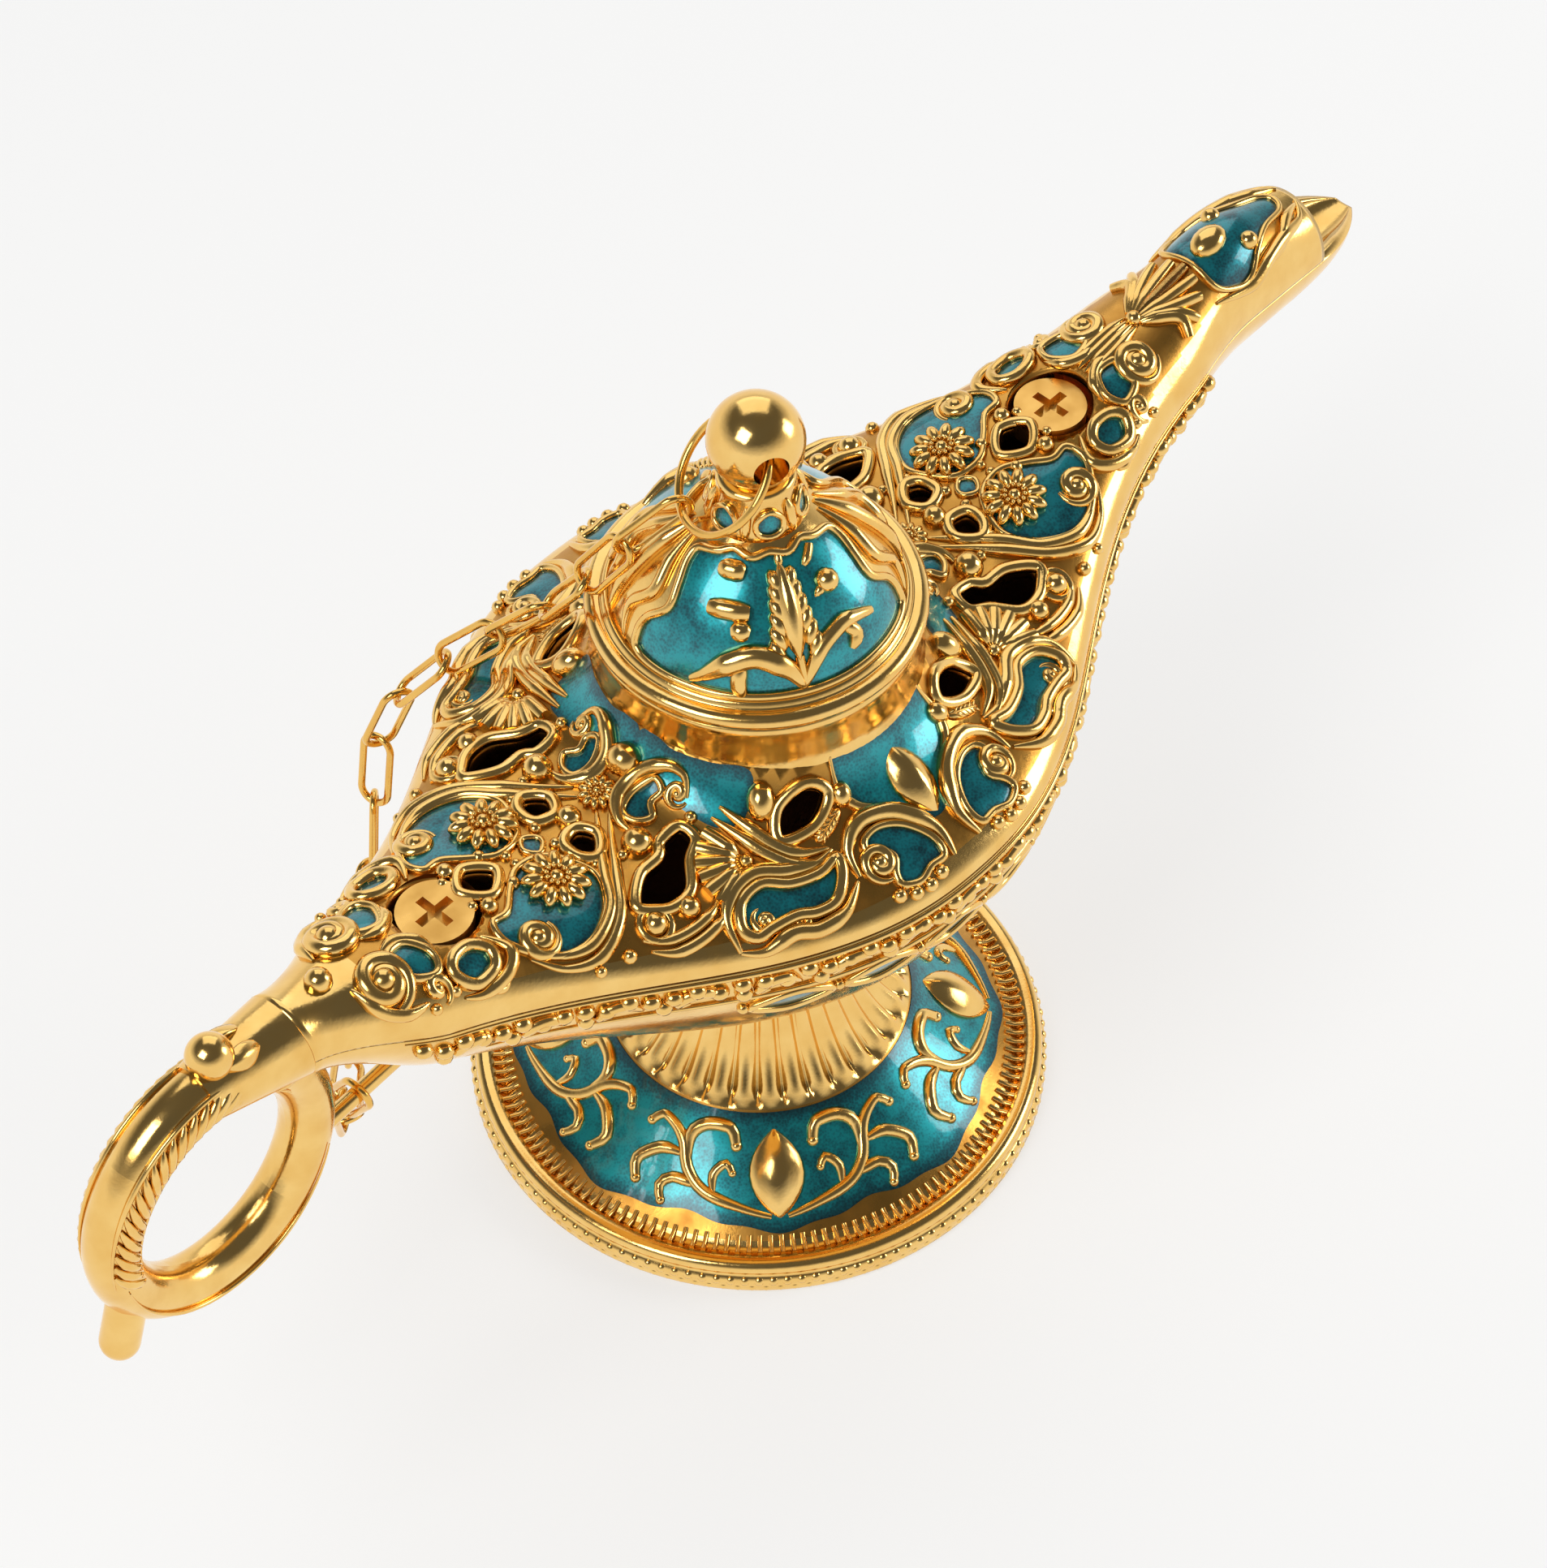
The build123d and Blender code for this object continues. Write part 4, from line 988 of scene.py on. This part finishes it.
work.stamp("pearl", (45.0, 0), (1.5, 1.1, 0.8), copies=[(1, 1)])

# flowers, leaves and beads
work.stamp("daisy", (21.6, 3.1), 2.25)
work.stamp("leaf", (6.3, 11.9), (1.35, 1.2, 1.2), 10)
work.stamp("almond", (0, 13.2), (2.9, 1.5, 1.0), 90, copies=bothSides)
work.stamp("pearl", (4.5, 11.3), (0.9, 0.7, 0.7), 60)
for x, y, r in [(18.9, 9.0, 0.85), (21.5, 9.3, 0.5), (16.5, 9.6, 0.8),
                (26.1, 1.9, 0.65), (23.6, 1.5, 0.5), (19.3, 0.9, 0.45), (18.6, 3.7, 0.4), (23.5, 8.8, 0.4),
                (16.9, 4.3, 0.4), (33.6, 5.0, 0.4), (31.9, 4.9, 0.4), (26.9, 1.3, 0.4), (22.3, 0.45, 0.4),
                (2.7, 18.2, 0.5), (3.8, 18.3, 0.5), (4.9, 18.1, 0.5), (5.9, 17.6, 0.5), (12.1, 5.6, 0.45)]:
    work.stamp("bead", (x, y), r)
work.stamp("pearl", (15.6, 4.3), 1.05)
work.stamp("pearl", (12.1, 0), 1.2, copies=bothEnds)
work.stamp("pearl", (17.2, 0), 0.85, copies=bothEnds)
work.stamp("daisy", (14.6, 0), 1.3, copies=bothEnds)
work.line(circle((18.9, 9.0), 1.0, 12), 0.2, closed=True)
work.stamp("pearl", (38.3, 0), 0.9, copies=[(-1, 1)])
finishDrawing("cover", work)


# Relief band under the rim of the bowl, with a row of enamelled leaves below it

def bandFrom(side):
    # u is the way along the lamp, v the way down from the rim
    def at(u, v):
        x = u * side
        a = asin(min(v / keelDepth(x), 1.0))
        return x, side * halfWidth(x) * cos(a), rimHeight(x) - v
    return at


# the chain runs close to the far side, where the band is left out for a short way
band = {"from": -36.0, "to": 40.0, "edges": (0.35, 3.0), "chain": (-24.0, -10.0), "scrollPitch": 4.4,
        "beadPitch": 1.25, "bead": (0.68, 0.52, 0.6), "beadRow": 1.25, "sway": 0.3, "swayRate": 1.9,
        "leafPitch": 5.6, "leafSpan": 15.0}
leafOutline = [(-2.4, 4.5), (-1.2, 3.7), (0, 3.4), (1.2, 3.7), (2.4, 4.5), (1.2, 5.3), (0, 5.6), (-1.2, 5.3)]
scrollPath = [(0, 2.3), (1.0, 1.2), (2.2, 1.5), (2.5, 2.3), (1.8, 2.5)]


def underChain(side, u):
    return side > 0 and band["chain"][0] < u < band["chain"][1]


bandWork = Drawing(weight=1.35)
bandPools = []
for side in (-1, 1):
    bandWork.surface = bandFrom(side)
    ends = sorted((band["from"] * side, band["to"] * side))
    for u in np.arange(ends[0], ends[1], band["beadPitch"]):
        if not underChain(side, u):
            row = band["beadRow"] + band["sway"] * sin(u * band["swayRate"])
            bandWork.stamp("bead", (u, row), band["bead"])
    for u in np.arange(ends[0], ends[1] - 3, band["scrollPitch"]):
        if not underChain(side, u):
            bandWork.line([(u + du, v) for du, v in scrollPath], 0.3)
            bandWork.stamp("bead", (u + 3.3, 2.2), 0.62)
    upper, lower = band["edges"]
    for start, end in [ends] if side < 0 else [(ends[0], band["chain"][0]), (band["chain"][1], ends[1])]:
        bandWork.line([(u, upper) for u in np.linspace(start, end, 40)], 0.16, step=1.0)
        bandWork.line([(u, lower) for u in np.linspace(start, end, 30)[2:-2]], 0.16, step=1.0)
    for u in np.arange(-band["leafSpan"], band["leafSpan"] + 1, band["leafPitch"]):
        outline = [(u + du, v) for du, v in leafOutline]
        bandPools.append(patchOf(bandWork.surface, outline, [(1, 1)], 0.4, 0.04, 0.1))
        bandWork.line(outline, 0.2, closed=True, rise=0.5)
        bandWork.stamp("bead", (u + 2.8, 4.5), 0.4)
enamelObject("bowl_enamel", bandPools, greyEnamel)
finishDrawing("bowl", bandWork)

# Handle: a cord pattern inside the ring's upper arc, ridges down its sides, and leaves that hold the pearl
grip = {"centre": (-48.3, 36.2), "half": (7.9, 8.6), "wire": 1.82,
        "cordEdges": (52, 120), "cordArc": (35, 190), "twist": 6.0, "twistArc": (38, 180), "slant": (8, 14),
        "inset": 4,
        "ridges": (75, 285), "ridgeArc": (190, 345),
        "leafAt": (-45.2, 1.1, 46.6), "leafFacing": (0.3, 0.7, 0.7), "leafWay": (-0.75, 0.35, 0.5),
        "leaf": (1.7, 0.8, 0.5)}


def ringAt(u, v):
    # u is the angle round the ring, v the angle round its wire from the outside, both in degrees
    a, b = radians(u), radians(v)
    way = np.array((cos(a) / grip["half"][0], 0, sin(a) / grip["half"][1]))
    way /= np.linalg.norm(way)
    (x, z), (wide, tall) = grip["centre"], grip["half"]
    middle = np.array((x + wide * cos(a), 0, z + tall * sin(a)))
    return middle + grip["wire"] * (cos(b) * way + sin(b) * np.array((0, -1.0, 0)))


gripWork = Drawing(ringAt)
low, high = grip["cordEdges"]
for flip in (False, True):
    for v in (low, high):
        gripWork.line([(u, 360 - v if flip else v) for u in range(*grip["cordArc"], 15)], 0.18, step=5)
    for u in np.arange(*grip["twistArc"], grip["twist"]):
        half, whole = grip["slant"]
        path = [(u, low + grip["inset"]), (u + half, (low + high) / 2), (u + whole, high - grip["inset"])]
        gripWork.line([(p, 360 - v if flip else v) for p, v in path], 0.32, taper=(0.3, 0.3), step=8)
for v in grip["ridges"]:
    gripWork.line([(u, v) for u in range(*grip["ridgeArc"], 15)], 0.16, step=5)
gripWork.stamps["almond"] = []
for side in (-1, 1):
    flipped = np.array((1, side, 1))
    place, facing, way = (flipped * grip[key] for key in ("leafAt", "leafFacing", "leafWay"))
    gripWork.stamps["almond"].append((place, facing, way, grip["leaf"]))
finishDrawing("handle", gripWork)
enamelObject("foot_enamel", footPools)
finishDrawing("foot", footWork)
stampObject("foot_edge_beads", edgeBeads, shapes["bead"], polishedGold)
enamelObject("lid_enamel", lidPools, body="lid")
finishDrawing("lid", lidWork, body="lid")
for shape in shapes.values():
    bpy.data.objects.remove(shape)
print("scrollwork ready")

# Floor, light and camera

def reflected(tree, rays):
    # 1 for the rays that metal and enamel send on
    kinds = {0: rays.outputs["Is Glossy Ray"], 1: rays.outputs["Is Transmission Ray"]}
    return addNode(tree, "ShaderNodeMath", kinds, operation="MAXIMUM")


# Pale matt paper: nearly white to the camera with a faint soft shadow, and plain white in the metal
floorMaterial, tree, shader = newMaterial("Pale paper sweep")
feed(tree, shader, {"Base Color": linear("#f4f4f2"), "Roughness": 0.9})
rays = addNode(tree, "ShaderNodeLightPath")
share = addNode(tree, "ShaderNodeMath", {0: rays.outputs["Is Camera Ray"], 1: 0.6}, operation="MULTIPLY")
seen = addNode(tree, "ShaderNodeMath", {0: share, 1: reflected(tree, rays)}, operation="MAXIMUM")
glow = addNode(tree, "ShaderNodeEmission", {"Color": (1, 1, 1, 1), "Strength": 1.0})
floorMix = addNode(tree, "ShaderNodeMixShader", {0: seen, 1: shader, 2: glow})
feed(tree, tree.nodes["Material Output"], {"Surface": floorMix})
reach = 900
corners = [(-reach, -reach, 0), (reach, -reach, 0), (reach, reach, 0), (-reach, reach, 0)]
floor = newObject("floor", corners, [(0, 1, 2, 3)], finish=floorMaterial)

# white wall low down, for the camera and for what the metal and enamel reflect, and a dim ceiling
world = bpy.data.worlds.new("studio")
scene.world = world
world.use_nodes = True
tree = world.node_tree
rays = addNode(tree, "ShaderNodeLightPath")
way = addNode(tree, "ShaderNodeTexCoord")
height = addNode(tree, "ShaderNodeSeparateXYZ", {"Vector": way.outputs["Generated"]})
wallLevel = addNode(tree, "ShaderNodeMapRange", {"Value": height.outputs["Z"], "From Min": 0.1,
                                                 "From Max": 0.55, "To Min": 1.0, "To Max": 0.12})
level = addNode(tree, "ShaderNodeMix", {"Factor": reflected(tree, rays), "A": 0.4, "B": wallLevel})
shown = addNode(tree, "ShaderNodeMath", {0: rays.outputs["Is Camera Ray"], 1: level}, operation="MAXIMUM")
feed(tree, tree.nodes["Background"], {"Color": (1, 1, 1, 1), "Strength": shown})

# place and width in millimetres, power in watts
lamps = {"key": ((-230, 0, 300), 160, 0.5), "side": ((240, -180, 150), 130, 0.3),
         "top": ((170, 180, 300), 320, 0.36)}
aim = Vector((0, 0, 35 * mm))
for name, (place, width, power) in lamps.items():
    light = bpy.data.lights.new(name, "AREA")
    light.size = width * mm
    light.energy = power
    lamp = bpy.data.objects.new(name, light)
    scene.collection.objects.link(lamp)
    lamp.location = [c * mm for c in place]
    lamp.rotation_euler = (aim - lamp.location).to_track_quat("-Z", "Y").to_euler()

# place in millimetres, focal length and picture height in pixels, as found from the photograph
view = {"place": (-136.202, -127.14, 259.012), "ahead": (0.4638, 0.428, -0.7757), "focus": 5500, "tall": 1932,
        "sensor": 36}
camera = bpy.data.cameras.new("camera")
camera.sensor_fit = "VERTICAL"
camera.sensor_height = view["sensor"]
camera.lens = view["focus"] / view["tall"] * view["sensor"]
camera.clip_start = 0.01
eye = bpy.data.objects.new("camera", camera)
scene.collection.objects.link(eye)
eye.location = [c * mm for c in view["place"]]
eye.rotation_euler = Vector(view["ahead"]).to_track_quat("-Z", "Y").to_euler()
scene.camera = eye
scene.view_settings.view_transform = "Standard"

print("scene ready")
